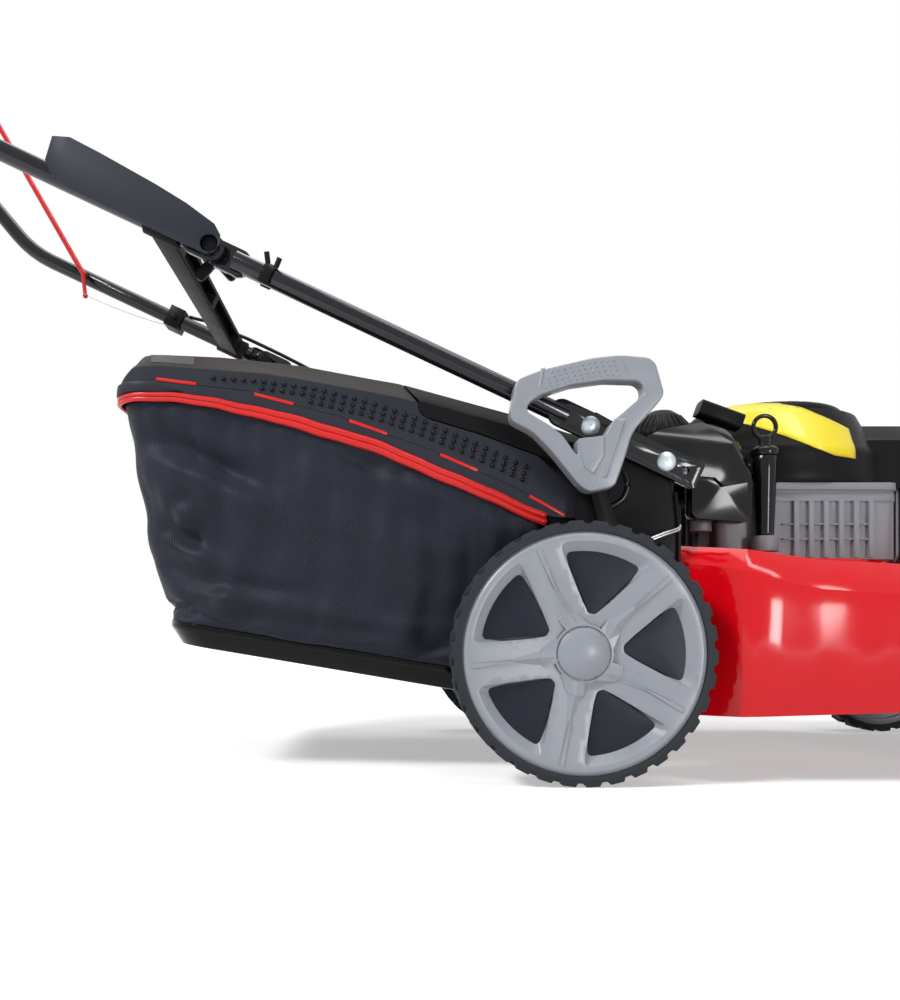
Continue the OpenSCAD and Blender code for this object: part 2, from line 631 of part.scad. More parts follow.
module air_filter_box() {
    // faceted cover over a smooth box at the right rear of the engine
    color([0.11, 0.11, 0.12]) placed() {
        difference() {
            plate(-172, -140.2) polygon([[92, 352], [90, 388], [114, 400], [162, 409], [188, 400], [204, 384],
                [221, 352], [213, 337], [184, 332], [174, 342], [140, 345]]);
            // the upper facet leans back, and the sides are chamfered
            translate([160, -176, 392]) rotate([-24, 0, 0]) cube([240, 16, 60], center = true);
            translate([214, -176, 368]) rotate([0, -30, 0]) rotate([0, 0, 40]) cube([30, 20, 90], center = true);
        }
        plate(-166, -140.2) offset(9, $fn = 32) polygon([[158, 304], [210, 300], [211, 338], [158, 338]]);
    }
}

module carburettor() {
    color([0.45, 0.45, 0.47]) placed() {
        translate([160, -136, 300]) cube([26, 22, 34]);
        bar_y([175, 316], 9, -140.1, -135);
        translate([173, -125, 284]) cylinder(r = 12.5, h = 17);
    }
}

module muffler() {
    color([0.20, 0.20, 0.21]) placed() difference() {
        union() {
            translate([blade_x + 20, 153.4, engine_z + 24]) linear_extrude(66)
                offset(16, $fn = 32) square([92, 34]);
            bar_y([blade_x + 60, engine_z + 50], 13, 136.1, 150);
        }
        for (x = [0:14:84]) translate([blade_x + 22 + x, 203, engine_z + 57]) cube([6, 20, 44], center = true);
    }
}

dip_top = 371.7;                     // top of the dipstick's tube
module dipstick_tube() {
    foot = engine_z + 12.05;
    color([0.05, 0.05, 0.06]) placed() translate([dip_at[0], dip_at[1], 0]) difference() {
        union() {
            translate([0, 0, foot]) cylinder(r = 8, h = 30);
            rotate_extrude() polygon([[0, foot + 14], [10.4, foot + 14], [14, dip_top - 12],
                [14, dip_top], [0, dip_top]]);
        }
        translate([0, 0, foot + 4]) cylinder(r = 6.5, h = 160);
    }
}

module dipstick() {
    // blade on a ring handle that is drawn up out of its tube
    color([0.06, 0.06, 0.07]) placed() translate([dip_at[0], dip_at[1], dip_top + 0.3]) {
        rotate_extrude() polygon([[0, 0], [15.8, 0], [16.4, 2], [16.4, 7], [12.5, 10.5], [6.8, 12],
            [6.8, 22.5], [5, 24], [0, 24]]);
        translate([0, 0, 34.5]) rotate([90, 0, 0]) rotate_extrude() translate([13.4, 0]) circle(2.6);
        translate([0, 0, -88]) cylinder(r = 2.2, h = 89);
    }
}

grip_pos = [blade_x - 106, -128, 424];
module starter_grip() {
    // hollow T grip of the recoil starter, resting against its outlet
    color([0.10, 0.10, 0.11]) placed() translate(grip_pos) rotate([0, 20, 0]) difference() {
        union() {
            rotate([0, 90, 0]) linear_extrude(54, center = true) offset(5) square([9, 16], center = true);
            translate([-4, 12, 0]) rotate([-90, 0, 0]) cylinder(r = 7, h = 12);
        }
        translate([22, 0, 0]) rotate([0, 90, 0]) linear_extrude(36, center = true)
            offset(3) square([7, 13], center = true);
    }
}

// ---- blade and crankshaft ------------------------------------------------

module crankshaft() {
    color([0.60, 0.60, 0.62]) placed() translate([blade_x, 0, blade_z]) difference() {
        translate([0, 0, 30]) cylinder(r = 12.5, h = 304);
        cylinder(r = 4.9, h = 70);
    }
}

module flywheel() {
    // magnet wheel with the fan's vanes
    color([0.48, 0.48, 0.50]) placed() translate([blade_x, 0, engine_z + 97]) {
        rotate_extrude($fn = 96) polygon([[12.51, 0], [86, 0], [86, 26], [70, 26], [60, 12], [30, 12],
            [24, 60], [12.51, 60]]);
        for (a = [0:20:340]) rotate([0, 0, a]) translate([58, -1.5, 10]) cube([34, 3, 34]);
    }
}

module blade_boss() {
    color([0.35, 0.35, 0.37]) placed() translate([blade_x, 0, blade_z + 3.52]) difference() {
        rotate_extrude() polygon([[0, 0], [36, 0], [36, 6], [22, 10], [22, 46], [0, 46]]);
        translate([0, 0, 26.46]) cylinder(r = 12.52, h = 30);
        translate([0, 0, -1]) cylinder(r = 4.92, h = 60);
    }
}

module blade() {
    // flat bar with ground edges and raised wings at both tips
    half = blade_len / 2;
    wide = 56;
    color([0.45, 0.46, 0.48]) placed() translate([blade_x, 0, blade_z]) difference() {
        union() {
            intersection() {
                cube([blade_len, wide, 7], center = true);
                cylinder(r = half, h = 20, center = true, $fn = 128);
            }
            for (a = [0, 180]) rotate([0, 0, a]) translate([half - 92, 24, 0]) rotate([40, 0, 0])
                translate([0, 0, -2]) cube([84, 24, 4]);
        }
        for (a = [0, 180]) rotate([0, 0, a]) translate([half - 96, -wide / 2, -3.5]) rotate([24, 0, 0])
            translate([0, -20, 0]) cube([110, 60, 20]);
        cylinder(r = 5, h = 20, center = true);
    }
}

module blade_bolt() {
    color([0.60, 0.61, 0.63]) placed() translate([blade_x, 0, blade_z - 3.55]) {
        translate([0, 0, -3]) cylinder(r = 17, h = 3);
        translate([0, 0, -10]) cylinder(r = 10, h = 7.01, $fn = 6);
        cylinder(r = 4.8, h = 66);
    }
}

// ---- height adjustment ---------------------------------------------------

// Where the tie rod's pins sit on the two left arms, straight above the pivots at mid height
link_r = 116;
function link_pin(pivot) = pivot + link_r * [-sin(arm_angle), cos(arm_angle)];
function hub(pivot) = pivot - [pivot_dx, pivot_dz];

// Two swing arms, the axle bar between them and the stubs for the wheels, welded together
module swing_axle(pivot) {
    bar_y(hub(pivot), axle_r, -track / 2 + 12, track / 2 - 12);
    for (s = [-1, 1]) difference() {
        plate(s * arm_y[0], s * arm_y[1]) hull() {
            translate(pivot) circle(17);
            translate(hub(pivot)) circle(13);
        }
        bar_y(pivot, 8 + bore_gap, -240, 240);
    }
    difference() {
        plate(arm_y[0], arm_y[1]) hull() { translate(pivot) circle(15); translate(link_pin(pivot)) circle(10); }
        bar_y(pivot, 8 + bore_gap, 200, 240);
    }
    bar_y(link_pin(pivot), 5, arm_y[0] + 0.5, arm_y[1] + 6);
}
module rear_axle() { color([0.20, 0.20, 0.21]) placed() swing_axle(rear_pivot); }
module front_axle() { color([0.20, 0.20, 0.21]) placed() swing_axle(front_pivot); }

module tie_rod() {
    // flat bar that makes the front arms follow the rear ones
    a = link_pin(rear_pivot);
    b = link_pin(front_pivot);
    color([0.30, 0.30, 0.31]) placed() difference() {
        plate(arm_y[1] + 0.5, arm_y[1] + 3.5) union() {
            hull() { translate(a) circle(4.5); translate(b) circle(4.5); }
            translate(a) circle(10);
            translate(b) circle(10);
        }
        for (p = [a, b]) bar_y(p, 5 + bore_gap, 200, 260);
    }
}

lever_foot = [22, 330];
module lever_plate() {
    // spring steel arm from the right pivot up into the grip
    color([0.10, 0.10, 0.11]) placed() difference() {
        plate(-arm_y[1], -arm_y[0]) hull() {
            translate(rear_pivot + [-4, 18]) circle(14);
            translate(lever_foot) circle(8);
        }
        swing_axle(rear_pivot);
        bar_y(rear_pivot, 12, -240, -210);
    }
}

// The grip's outline: a loop whose two arms run together into the foot
loop_out = [[-69, 434], [-41, 445], [14, 458], [45, 461], [75, 458], [82, 452], [91, 420], [87, 412],
    [57, 378], [49, 351], [39, 322], [34, 318], [10, 313], [0, 320], [-29, 356], [-50, 378], [-76, 391]];
loop_in = [[-57, 400], [-55, 409], [-42, 418], [-8, 429], [28, 434], [62, 433], [68, 428], [69, 418],
    [34, 388], [22, 377], [-2, 377], [-26, 384]];
module lever_grip() {
    color([0.58, 0.60, 0.63]) placed() {
        difference() {
            plate(-arm_y[1] - 24, -arm_y[1] - 0.05) difference() {
                offset(6, $fn = 32) offset(-6) polygon(loop_out);
                offset(7, $fn = 32) offset(-7) polygon(loop_in);
            }
            plate(-arm_y[1] - 30, -arm_y[1] - 14) offset(3, $fn = 24) offset(-3) polygon([[-14, 372], [28, 372],
                [24, 352], [14, 342]]);
        }
    }
}

spring_hook = [113, 277];
spring_foot = [46, 250];
module assist_spring() {
    // tension spring with a long hook, from the bracket's lip to the lever's plate
    y = -arm_y[1] - 4.3;
    d = spring_hook - spring_foot;
    a = spring_foot + d * 0.08;
    m = spring_foot + d * 0.52;
    color([0.75, 0.77, 0.80]) placed() {
        rod([a[0], y, a[1]], [m[0], y, m[1]], 3.8);
        rod([m[0] - 2, y, m[1] - 0.8], [spring_hook[0] + 5, -bracket_y - 6, spring_hook[1]], 1.5);
        bar_y(a + d * 0.04, 2.6, y, y + 4.1);
    }
}

// ---- flap and grass bag --------------------------------------------------

flap_top = [[-190, 446], [-71, 412], [0, 391], [28, 384]];
flap_mid = [[-190, 430], [-177, 426], [-47, 391], [28, 371]];
flap_low = [[-190, 419], [-177, 415], [-36, 366], [28, 341]];
module discharge_flap() {
    // sprung flap hinged at its front, lying on the bag's lid
    color([0.15, 0.16, 0.18]) placed() difference() {
        union() {
            skin([for (x = [-190, -177, -150, -110, -71, -36, 0, 27]) let (
                    t = lookup(x, flap_top), m = lookup(x, flap_mid), b = lookup(x, flap_low))
                [[x, bag_half + 3.4, b], [x, bag_half + 2, m], [x, bag_half - 11, t], [x, 100, t + 5],
                 [x, -100, t + 5], [x, 11 - bag_half, t], [x, -bag_half - 2, m], [x, -bag_half - 3.4, b],
                 [x, -bag_half - 0.9, b], [x, 0.5 - bag_half, m - 1], [x, 12.5 - bag_half, t - 2.8],
                 [x, -100, t + 2.2], [x, 100, t + 2.2], [x, bag_half - 12.5, t - 2.8],
                 [x, bag_half - 0.5, m - 1], [x, bag_half + 0.9, b]]]);
            for (s = [-1, 1]) {
                bar_y(flap_pin, 7, s * 60, s * 138);
                translate([20, min(s * 60, s * 138), 385]) cube([14, 78, 4]);
            }
        }
        bar_y(flap_pin, 3 + bore_gap, -240, 240);
    }
}

// Height of the bag's red seam, of its bottom edge, and of the lid's two edges, along its length
seam_line = [[-521, 431], [-460, 429], [-402, 423], [-306, 399], [-231, 377], [-137, 338], [-25, 288], [14, 287]];
low_line = [[-470, 178], [-33, 105]];
bevel_low = [[-521, 449], [-497, 466], [-470, 468], [-345, 458], [-306, 452], [-194, 431], [-188, 424],
    [-163, 411], [-100, 388], [-20, 356], [14, 318]];
bevel_top = [[-500, 480], [-488, 482], [-398, 478], [-306, 468], [-226, 453], [-194, 446], [-188, 439],
    [-71, 405], [-22, 390]];
// A rounded rectangle seen from above, open side forward, anticlockwise from its front left corner
bag_x = [14, -14, -34, -60, -90, -120, -155, -188, -195, -226, -266, -306, -345, -390, -430];
function bag_ring(x0, x1, half, r) = let (
    n = len(bag_x) - 1,
    line = [for (i = [0:n]) min(x1 - 0.6 * i, max(x0 + r + 0.6 * (n - i + 1), bag_x[i]))]) concat(
    [for (x = line) [x, half]],
    arc([x0 + r, half - r], r, 95, 180, 5),
    arc([x0 + r, r - half], r, 180, 265, 5),
    [for (i = [n:-1:0]) [line[i], -half]]);
function raised(ring, line, dz) = [for (p = ring) [p[0], p[1], lookup(p[0], line) + dz]];
function under(x) = 4.5 * smooth(-194, -188, x);
function tucked(ring, line, dz, half) = [for (p = ring) [p[0],
    max(-half + under(p[0]), min(half - under(p[0]), p[1])), lookup(p[0], line) + dz]];

module bag_lid() {
    outer = [
        raised(bag_ring(-521, 14, bag_half, 40), seam_line, 4.8),
        tucked(bag_ring(-519, 14, bag_half - 1, 40), bevel_low, 0, bag_half - 1),
        tucked(bag_ring(-500, -22, bag_half - 14, 36), bevel_top, 0, bag_half - 14),
        raised(bag_ring(-450, -60, 110, 36), bevel_top, 4)];
    inner = [
        raised(bag_ring(-518, 10, bag_half - 3, 38), seam_line, 4.8),
        tucked(bag_ring(-516, 10, bag_half - 4, 38), bevel_low, -1, bag_half - 4),
        tucked(bag_ring(-498, -26, bag_half - 16, 34), bevel_top, -3, bag_half - 16),
        raised(bag_ring(-450, -60, 110, 36), bevel_top, 1)];
    color([0.20, 0.21, 0.25]) placed() difference() {
        skin(concat(turned(inner), outer));
        translate([-36, -189.5, 200]) cube([80, 379, 176]);
        // notches for the frame's hooks
        sides() translate([-40, -178.5, 370]) cube([60, 13, 16.4]);
    }
}

module lid_inserts() {
    // red strips let into the lid's sides
    color([0.85, 0.10, 0.10]) placed() sides()
        for (s = [[-447, 447, -7], [-336, 427, -14], [-229, 395, -19], [-126, 355, -23], [-26, 306, -29]])
            translate([s[0], -bag_half + 1, s[1]]) rotate([0, -s[2], 0]) cube([46, 4, 3.4], center = true);
}

module bag_piping() {
    color([0.88, 0.10, 0.09]) placed()
        sweep([for (p = bag_ring(-521, -28, bag_half, 40)) [p[0], p[1], lookup(p[0], seam_line)]], 5.4, 8);
}

// The cloth's outline at a share of the way up from the tray to the seam
function cloth_rear(t) = lookup(t, [[0, -466], [0.08, -462], [0.16, -466], [0.33, -485], [0.5, -496],
    [0.65, -500], [0.8, -499], [1, -518]]);
function cloth_half(t) = lookup(t, [[0, 176], [0.16, 178], [0.5, 188], [0.8, 192], [1, bag_half - 2]]);
function cloth_ring(t, d) = [for (p = bag_ring(cloth_rear(t) + d, -34 - d, cloth_half(t) - d, 42 - d))
    [p[0], p[1], lookup(p[0], low_line) * (1 - t) + (lookup(p[0], seam_line) - 4.4) * t]];
module bag_fabric() {
    steps = [0, 0.08, 0.16, 0.33, 0.5, 0.65, 0.8, 1];
    color([0.16, 0.17, 0.20]) placed() difference() {
        wall_skin(concat([for (t = steps) cloth_ring(t, 0)], turned([for (t = steps) cloth_ring(t, 3)])));
        translate([-50, -168, 212]) cube([40, 336, 200]);
    }
}

module bag_tray() {
    // moulded pan under the cloth
    function pan(d, dz, t) = raised(bag_ring(-466 + d, -34 - d / 2, 176 - d, 42 - d * 0.6), low_line, dz);
    color([0.05, 0.05, 0.06]) placed()
        skin([pan(22, -27, 0), pan(12, -26, 0), pan(3, -12, 0), pan(0, -8, 0), pan(0, -0.1, 0),
            pan(3, -0.1, 0), pan(6, -12, 0), pan(14, -23, 0), pan(24, -24, 0)]);
}

module bag_frame() {
    // wire frame round the bag's mouth with the two hooks that hang on the chute
    x = -58;
    color([0.10, 0.10, 0.11]) placed() {
        for (z = [206, 352]) bar_y([x, z], 4, -172, 172);
        sides() {
            rod([x, -172, 206], [x, -172, 352], 4);
            for (z = [206, 352]) translate([x, -172, z]) sphere(r = 4);
            plate(-176, -168) polygon([[x, 346], [x, 356], [-14, 385], [-4, 384],
                [-2, 375], [-10, 374], [-24, 374]]);
        }
    }
}

deck_shell();
front_bumper();
chamber_baffle();
discharge_chute();
flap_rod();
handle_brackets();
height_quadrant();
pivot_brackets();
lower_handle();
handle_bolts();
rope_guide();
crankcase();
cylinder_barrel();
spark_plug();
blower_shroud();
recoil_cover();
fuel_tank();
air_filter_box();
carburettor();
muffler();
dipstick_tube();
brake_cable();
assist_spring();
crankshaft();
flywheel();
blade_boss();
blade();
blade_bolt();
starter_grip();
fuel_cap();
dipstick();
discharge_flap();
bag_lid();
lid_inserts();
bag_piping();
bag_fabric();
bag_tray();
bag_frame();
upper_handle();
foam_grip();
console_brace();
control_hood();
cable_clamp();
bail();
wing_knob_right();
wing_knob_left();
rear_axle();
lever_plate();
lever_grip();
front_axle();
tie_rod();
rear_rim_right();
rear_tyre_right();
rear_rim_left();
rear_tyre_left();
front_rim_right();
front_tyre_right();
front_rim_left();
front_tyre_left();
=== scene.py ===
import json
import math

import bpy
import bmesh
from mathutils import Matrix, Vector, noise
from mathutils.bvhtree import BVHTree


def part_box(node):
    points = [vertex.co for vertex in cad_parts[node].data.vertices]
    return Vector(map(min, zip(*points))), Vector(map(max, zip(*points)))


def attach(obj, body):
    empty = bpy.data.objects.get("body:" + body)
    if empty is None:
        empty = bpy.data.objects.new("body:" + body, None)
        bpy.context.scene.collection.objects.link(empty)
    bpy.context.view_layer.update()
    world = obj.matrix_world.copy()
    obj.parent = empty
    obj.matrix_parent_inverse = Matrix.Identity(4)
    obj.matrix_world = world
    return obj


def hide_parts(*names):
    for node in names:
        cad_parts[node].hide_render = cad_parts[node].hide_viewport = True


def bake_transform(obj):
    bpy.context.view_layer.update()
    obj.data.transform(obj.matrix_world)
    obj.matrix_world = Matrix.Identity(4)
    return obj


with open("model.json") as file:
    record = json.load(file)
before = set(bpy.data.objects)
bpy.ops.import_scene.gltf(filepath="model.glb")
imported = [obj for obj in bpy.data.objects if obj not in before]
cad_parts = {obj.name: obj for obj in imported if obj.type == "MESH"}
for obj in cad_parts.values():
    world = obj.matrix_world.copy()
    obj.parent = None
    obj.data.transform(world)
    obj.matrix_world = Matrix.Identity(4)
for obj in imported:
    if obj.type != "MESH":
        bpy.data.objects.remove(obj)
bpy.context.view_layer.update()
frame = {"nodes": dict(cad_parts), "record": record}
nodes = frame["nodes"]
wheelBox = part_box("rear_tyre_right")
rearX = (wheelBox[0].x + wheelBox[1].x) / 2


def at(ahead, left, up):
    # a place given in millimetres: ahead of the rear axle, left of the middle and up from the ground
    return Vector((rearX + ahead / 1000, left / 1000, up / 1000))


def fromAt(point):
    # the reverse of at, for a point in metres
    return (point.x - rearX) * 1000, point.y * 1000, point.z * 1000


def linkNew(name, data):
    obj = bpy.data.objects.new(name, data)
    bpy.context.scene.collection.objects.link(obj)
    return obj


view = {"lens": 32.9, "shiftX": 0.058, "shiftY": 0.128, "place": (-202, -1235, 167)}
camData = bpy.data.cameras.new("camera")
camData.lens = view["lens"]
camData.shift_x = view["shiftX"]
camData.shift_y = view["shiftY"]
camData.clip_start = 0.05
cam = linkNew("camera", camData)
cam.location = at(*view["place"])
cam.rotation_euler = (math.radians(90), 0, 0)
bpy.context.scene.camera = cam
bpy.context.scene.view_settings.view_transform = "Standard"

# each lamp: its place, the point that it faces, its size in metres, its power and the run of its length
middle = (-60, 0, 300)
lamps = {
    "key": ((-1900, -1350, 2150), middle, (0.8, 0.6), 66, None),
    "fill": ((1500, -2300, 900), middle, (1.9, 1.9), 1.5, None),
    "top": ((100, 200, 2500), middle, (2.4, 1.0), 22, None),
    "strip": ((983, -2150, 165), (395, -240, 165), (0.30, 0.80), 20, None),
    "line": ((646, -979, 2130), (-100, -215, 440), (1.7, 0.13), 10, (-0.905, 0, 0.426)),
}


def areaLamp(name, place, target, size, power, along):
    data = bpy.data.lights.new(name, "AREA")
    data.shape = "RECTANGLE"
    data.size, data.size_y = size
    data.energy = power
    lamp = linkNew(name, data)
    lamp.location = at(*place)
    back = lamp.location - at(*target)
    if along:
        back.normalize()
        run = Vector(along)
        run = (run - back * run.dot(back)).normalized()
        lamp.rotation_euler = Matrix((run, back.cross(run), back)).transposed().to_euler()
    else:
        lamp.rotation_euler = (-back).to_track_quat("-Z", "Y").to_euler()


for name, values in lamps.items():
    areaLamp(name, *values)


def setInputs(node, values):
    for key, value in values.items():
        node.inputs[key].default_value = value
    return node


def seenRay(tree):
    # 1 for a ray that shows the background: straight, in gloss or through glass
    source = tree.nodes.new("ShaderNodeLightPath")
    total = source.outputs["Is Camera Ray"]
    for kind in ("Is Glossy Ray", "Is Transmission Ray"):
        most = tree.nodes.new("ShaderNodeMath")
        most.operation = "MAXIMUM"
        tree.links.new(total, most.inputs[0])
        tree.links.new(source.outputs[kind], most.inputs[1])
        total = most.outputs[0]
    return total


def makeWorld(strength, tint):
    # white wherever it is seen, and a weak cool light on the mower
    world = bpy.data.worlds.new("studio")
    bpy.context.scene.world = world
    world.use_nodes = True
    tree = world.node_tree
    tree.nodes.clear()
    lit = setInputs(tree.nodes.new("ShaderNodeBackground"), {"Color": (*tint, 1), "Strength": strength})
    seen = setInputs(tree.nodes.new("ShaderNodeBackground"), {"Color": (1, 1, 1, 1), "Strength": 1.0})
    pick = tree.nodes.new("ShaderNodeMixShader")
    out = tree.nodes.new("ShaderNodeOutputWorld")
    tree.links.new(seenRay(tree), pick.inputs[0])
    tree.links.new(lit.outputs[0], pick.inputs[1])
    tree.links.new(seen.outputs[0], pick.inputs[2])
    tree.links.new(pick.outputs[0], out.inputs[0])


makeWorld(0.13, (0.92, 0.95, 1.0))
print("camera and", len(lamps), "lamps")

# colour, roughness, metal, coat, grain size in mm, grain depth in mm, colour change, specular level
finishes = {
    "deck_paint": ((0.60, 0.001, 0.006), 0.10, 0.0, 0.10, 1.6, 0.02, 0.04, 0.24),
    "black_paint": ((0.004, 0.005, 0.008), 0.12, 0.0, 0.0, 1.2, 0.012, 0.2, 0.36),
    "arm_paint": ((0.006, 0.006, 0.007), 0.36, 0.0, 0.0, 1.0, 0.03, 0.3, 0.08),
    "red_wire": ((0.52, 0.008, 0.010), 0.25, 0.0, 0.2, 1.0, 0.01, 0.08, 0.3),
    "zinc": ((0.50, 0.55, 0.58), 0.46, 1.0, 0.0, 2.0, 0.02, 0.12, 0.5),
    "blade_steel": ((0.36, 0.37, 0.39), 0.38, 1.0, 0.0, 1.0, 0.03, 0.2, 0.5),
    "cast_alloy": ((0.20, 0.215, 0.235), 0.56, 0.25, 0.0, 1.0, 0.14, 0.16, 0.3),
    "engine_plastic": ((0.008, 0.008, 0.009), 0.40, 0.0, 0.0, 0.9, 0.05, 0.2, 0.07),
    "gloss_black": ((0.004, 0.004, 0.005), 0.12, 0.0, 0.0, 2.0, 0.01, 0.1, 0.24),
    "lid_plastic": ((0.027, 0.029, 0.039), 0.50, 0.0, 0.0, 0.8, 0.05, 0.1, 0.1),
    "tray_plastic": ((0.003, 0.003, 0.004), 0.10, 0.0, 0.0, 2.5, 0.01, 0.1, 0.15),
    "red_plastic": ((0.62, 0.014, 0.012), 0.32, 0.0, 0.0, 1.2, 0.01, 0.06, 0.3),
    "grey_plastic": ((0.252, 0.268, 0.300), 0.30, 0.0, 0.0, 0.8, 0.05, 0.05, 0.42),
    "tread": ((0.028, 0.031, 0.036), 0.58, 0.0, 0.0, 1.2, 0.06, 0.2, 0.12),
    "bag_cloth": ((0.023, 0.026, 0.039), 0.46, 0.0, 0.0, 1.0, 0.05, 0.25, 0.09),
    "piping_cloth": ((0.60, 0.012, 0.010), 0.36, 0.0, 0.0, 1.0, 0.05, 0.08, 0.4),
    "foam": ((0.008, 0.008, 0.009), 0.85, 0.0, 0.0, 1.4, 0.25, 0.3, 0.1),
    "muffler_steel": ((0.04, 0.04, 0.042), 0.6, 0.4, 0.0, 1.0, 0.05, 0.3, 0.3),
    "cable_sheath": ((0.006, 0.006, 0.007), 0.35, 0.0, 0.0, 2.0, 0.01, 0.1, 0.15),
}
# looks of small pieces that have no slot of their own
trimFinishes = {
    "windowPlate": ((0.013, 0.016, 0.024), 0.34, 0.0, 0.0, 1.0, 0.02, 0.1, 0.12),
    "ventBead": ((0.001, 0.001, 0.002), 0.16, 0.0, 0.0, 2.0, 0.01, 0.1, 0.2),
    "lidWindow": ((0.085, 0.085, 0.088), 0.4, 0.0, 0.0, 0.8, 0.03, 0.1, 0.3),
    "bracePlastic": ((0.012, 0.011, 0.011), 0.5, 0.0, 0.0, 1.2, 0.08, 0.2, 0.06),
    "bareWire": ((0.45, 0.46, 0.48), 0.3, 1.0, 0.0, 1.0, 0.01, 0.1, 0.5),
    "labelPlate": ((0.78, 0.62, 0.0), 0.35, 0.0, 0.2, 2.0, 0.005, 0.02, 0.5),
}


def makeMaterial(name, colour, rough, metal, coat, grain, depth, change, gloss):
    mat = bpy.data.materials.new(name)
    mat.use_nodes = True
    tree = mat.node_tree
    link = tree.links.new
    shader = setInputs(tree.nodes["Principled BSDF"], {
        "Metallic": metal, "Coat Weight": coat, "Coat Roughness": 0.06, "Specular IOR Level": gloss})
    place = tree.nodes.new("ShaderNodeTexCoord")
    # a slow change of colour and polish over the piece, and its moulded or sprayed grain
    cloud = setInputs(tree.nodes.new("ShaderNodeTexNoise"), {"Scale": 14, "Detail": 5})
    fine = setInputs(tree.nodes.new("ShaderNodeTexNoise"), {"Scale": 1000 / grain, "Detail": 3})
    link(place.outputs["Object"], cloud.inputs["Vector"])
    link(place.outputs["Object"], fine.inputs["Vector"])
    tone = tree.nodes.new("ShaderNodeMix")
    tone.data_type = "RGBA"
    setInputs(tone, {"A": (*[c * (1 - change) for c in colour], 1),
                     "B": (*[min(1, c * (1 + change)) for c in colour], 1)})
    link(cloud.outputs["Fac"], tone.inputs["Factor"])
    link(tone.outputs["Result"], shader.inputs["Base Color"])
    polish = setInputs(tree.nodes.new("ShaderNodeMapRange"), {
        "From Min": 0.3, "From Max": 0.7, "To Min": rough * 0.86, "To Max": min(1, rough * 1.14)})
    link(cloud.outputs["Fac"], polish.inputs["Value"])
    link(polish.outputs["Result"], shader.inputs["Roughness"])
    bump = setInputs(tree.nodes.new("ShaderNodeBump"), {"Strength": 0.6, "Distance": depth / 1000})
    link(fine.outputs["Fac"], bump.inputs["Height"])
    link(bump.outputs["Normal"], shader.inputs["Normal"])
    return mat


finish = {name: makeMaterial(name, *values) for name, values in {**finishes, **trimFinishes}.items()}


def tintWith(mat, fac, colour, blend="MIX"):
    # lays a colour over the material's own, by a share that another node gives
    tree = mat.node_tree
    shader = tree.nodes["Principled BSDF"]
    tint = tree.nodes.new("ShaderNodeMix")
    tint.data_type = "RGBA"
    tint.blend_type = blend
    tint.inputs["B"].default_value = (*colour, 1)
    tree.links.new(shader.inputs["Base Color"].links[0].from_socket, tint.inputs["A"])
    tree.links.new(fac, tint.inputs["Factor"])
    tree.links.new(tint.outputs["Result"], shader.inputs["Base Color"])


def addWeave(mat, pitch, depth, fade):
    # upright ribs of a woven cloth, with a cross thread, in metres along and up the flat sheet
    tree = mat.node_tree
    link = tree.links.new
    waves = []
    for axis, finer, distortion in (("X", 1.0, 0.25), ("Y", 1.3, 0)):
        wave = tree.nodes.new("ShaderNodeTexWave")
        wave.wave_type = "BANDS"
        wave.bands_direction = axis
        setInputs(wave, {"Scale": 0.314 / (pitch / 1000) * finer, "Distortion": distortion, "Detail": 2})
        link(tree.nodes["Texture Coordinate"].outputs["UV"], wave.inputs["Vector"])
        waves.append(wave)
    rib, thread = waves
    both = setInputs(tree.nodes.new("ShaderNodeMath"), {1: 0.6})
    both.operation = "MULTIPLY_ADD"
    link(thread.outputs["Fac"], both.inputs[0])
    link(rib.outputs["Fac"], both.inputs[2])
    weave = setInputs(tree.nodes.new("ShaderNodeBump"), {"Strength": 0.8, "Distance": depth / 1000})
    link(both.outputs[0], weave.inputs["Height"])
    link(tree.nodes["Bump"].outputs["Normal"], weave.inputs["Normal"])
    link(weave.outputs["Normal"], tree.nodes["Principled BSDF"].inputs["Normal"])
    tintWith(mat, rib.outputs["Fac"], (fade, fade, fade), "MULTIPLY")


def paintTopLight(mat, colour):
    # faces that look upward are painted warmer and paler: a painted top light, as the light falls on them
    # from above
    tree = mat.node_tree
    facing = tree.nodes.new("ShaderNodeSeparateXYZ")
    tree.links.new(tree.nodes["Texture Coordinate"].outputs["Normal"], facing.inputs[0])
    share = setInputs(tree.nodes.new("ShaderNodeMapRange"), {"From Min": 0.3, "From Max": 0.5})
    share.interpolation_type = "SMOOTHSTEP"
    tree.links.new(facing.outputs["Z"], share.inputs["Value"])
    tintWith(mat, share.outputs["Result"], colour)


# painted light: the lid's upward faces get a paler, warmer colour
paintTopLight(finish["lid_plastic"], (0.046, 0.042, 0.040))
addWeave(finish["bag_cloth"], 2.7, 0.2, 0.6)
setInputs(finish["bag_cloth"].node_tree.nodes["Principled BSDF"], {"Sheen Weight": 0.05})
slotOf = {entry["node"]: entry["material_slot"] for entry in frame["record"]["subparts"]}
for name, obj in nodes.items():
    obj.data.materials.clear()
    obj.data.materials.append(finish["bracePlastic" if name == "console_brace" else slotOf[name]])
print("materials on", len(nodes), "nodes")


def addPiece(name, mesh, body, mat, smooth=True, replaces=()):
    # links a piece with its finish, sets it on its body and says which nodes it stands for
    obj = linkNew(name, mesh)
    mesh.materials.clear()
    mesh.materials.append(finish[mat])
    if smooth:
        for poly in mesh.polygons:
            poly.use_smooth = True
    if body:
        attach(obj, body)
    if replaces:
        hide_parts(*replaces)
    return obj


def addMesh(name, points, faces, body, mat, smooth=True, replaces=()):
    mesh = bpy.data.meshes.new(name)
    mesh.from_pydata([tuple(p) for p in points], [], faces)
    mesh.validate()
    return addPiece(name, mesh, body, mat, smooth, replaces)


def sharpFrom(obj, degrees):
    obj.data.set_sharp_from_angle(angle=math.radians(degrees))


def thicken(obj, metres):
    # the surface stays and the wall grows inward
    thick = obj.modifiers.new("thick", "SOLIDIFY")
    thick.thickness = metres
    thick.offset = -1


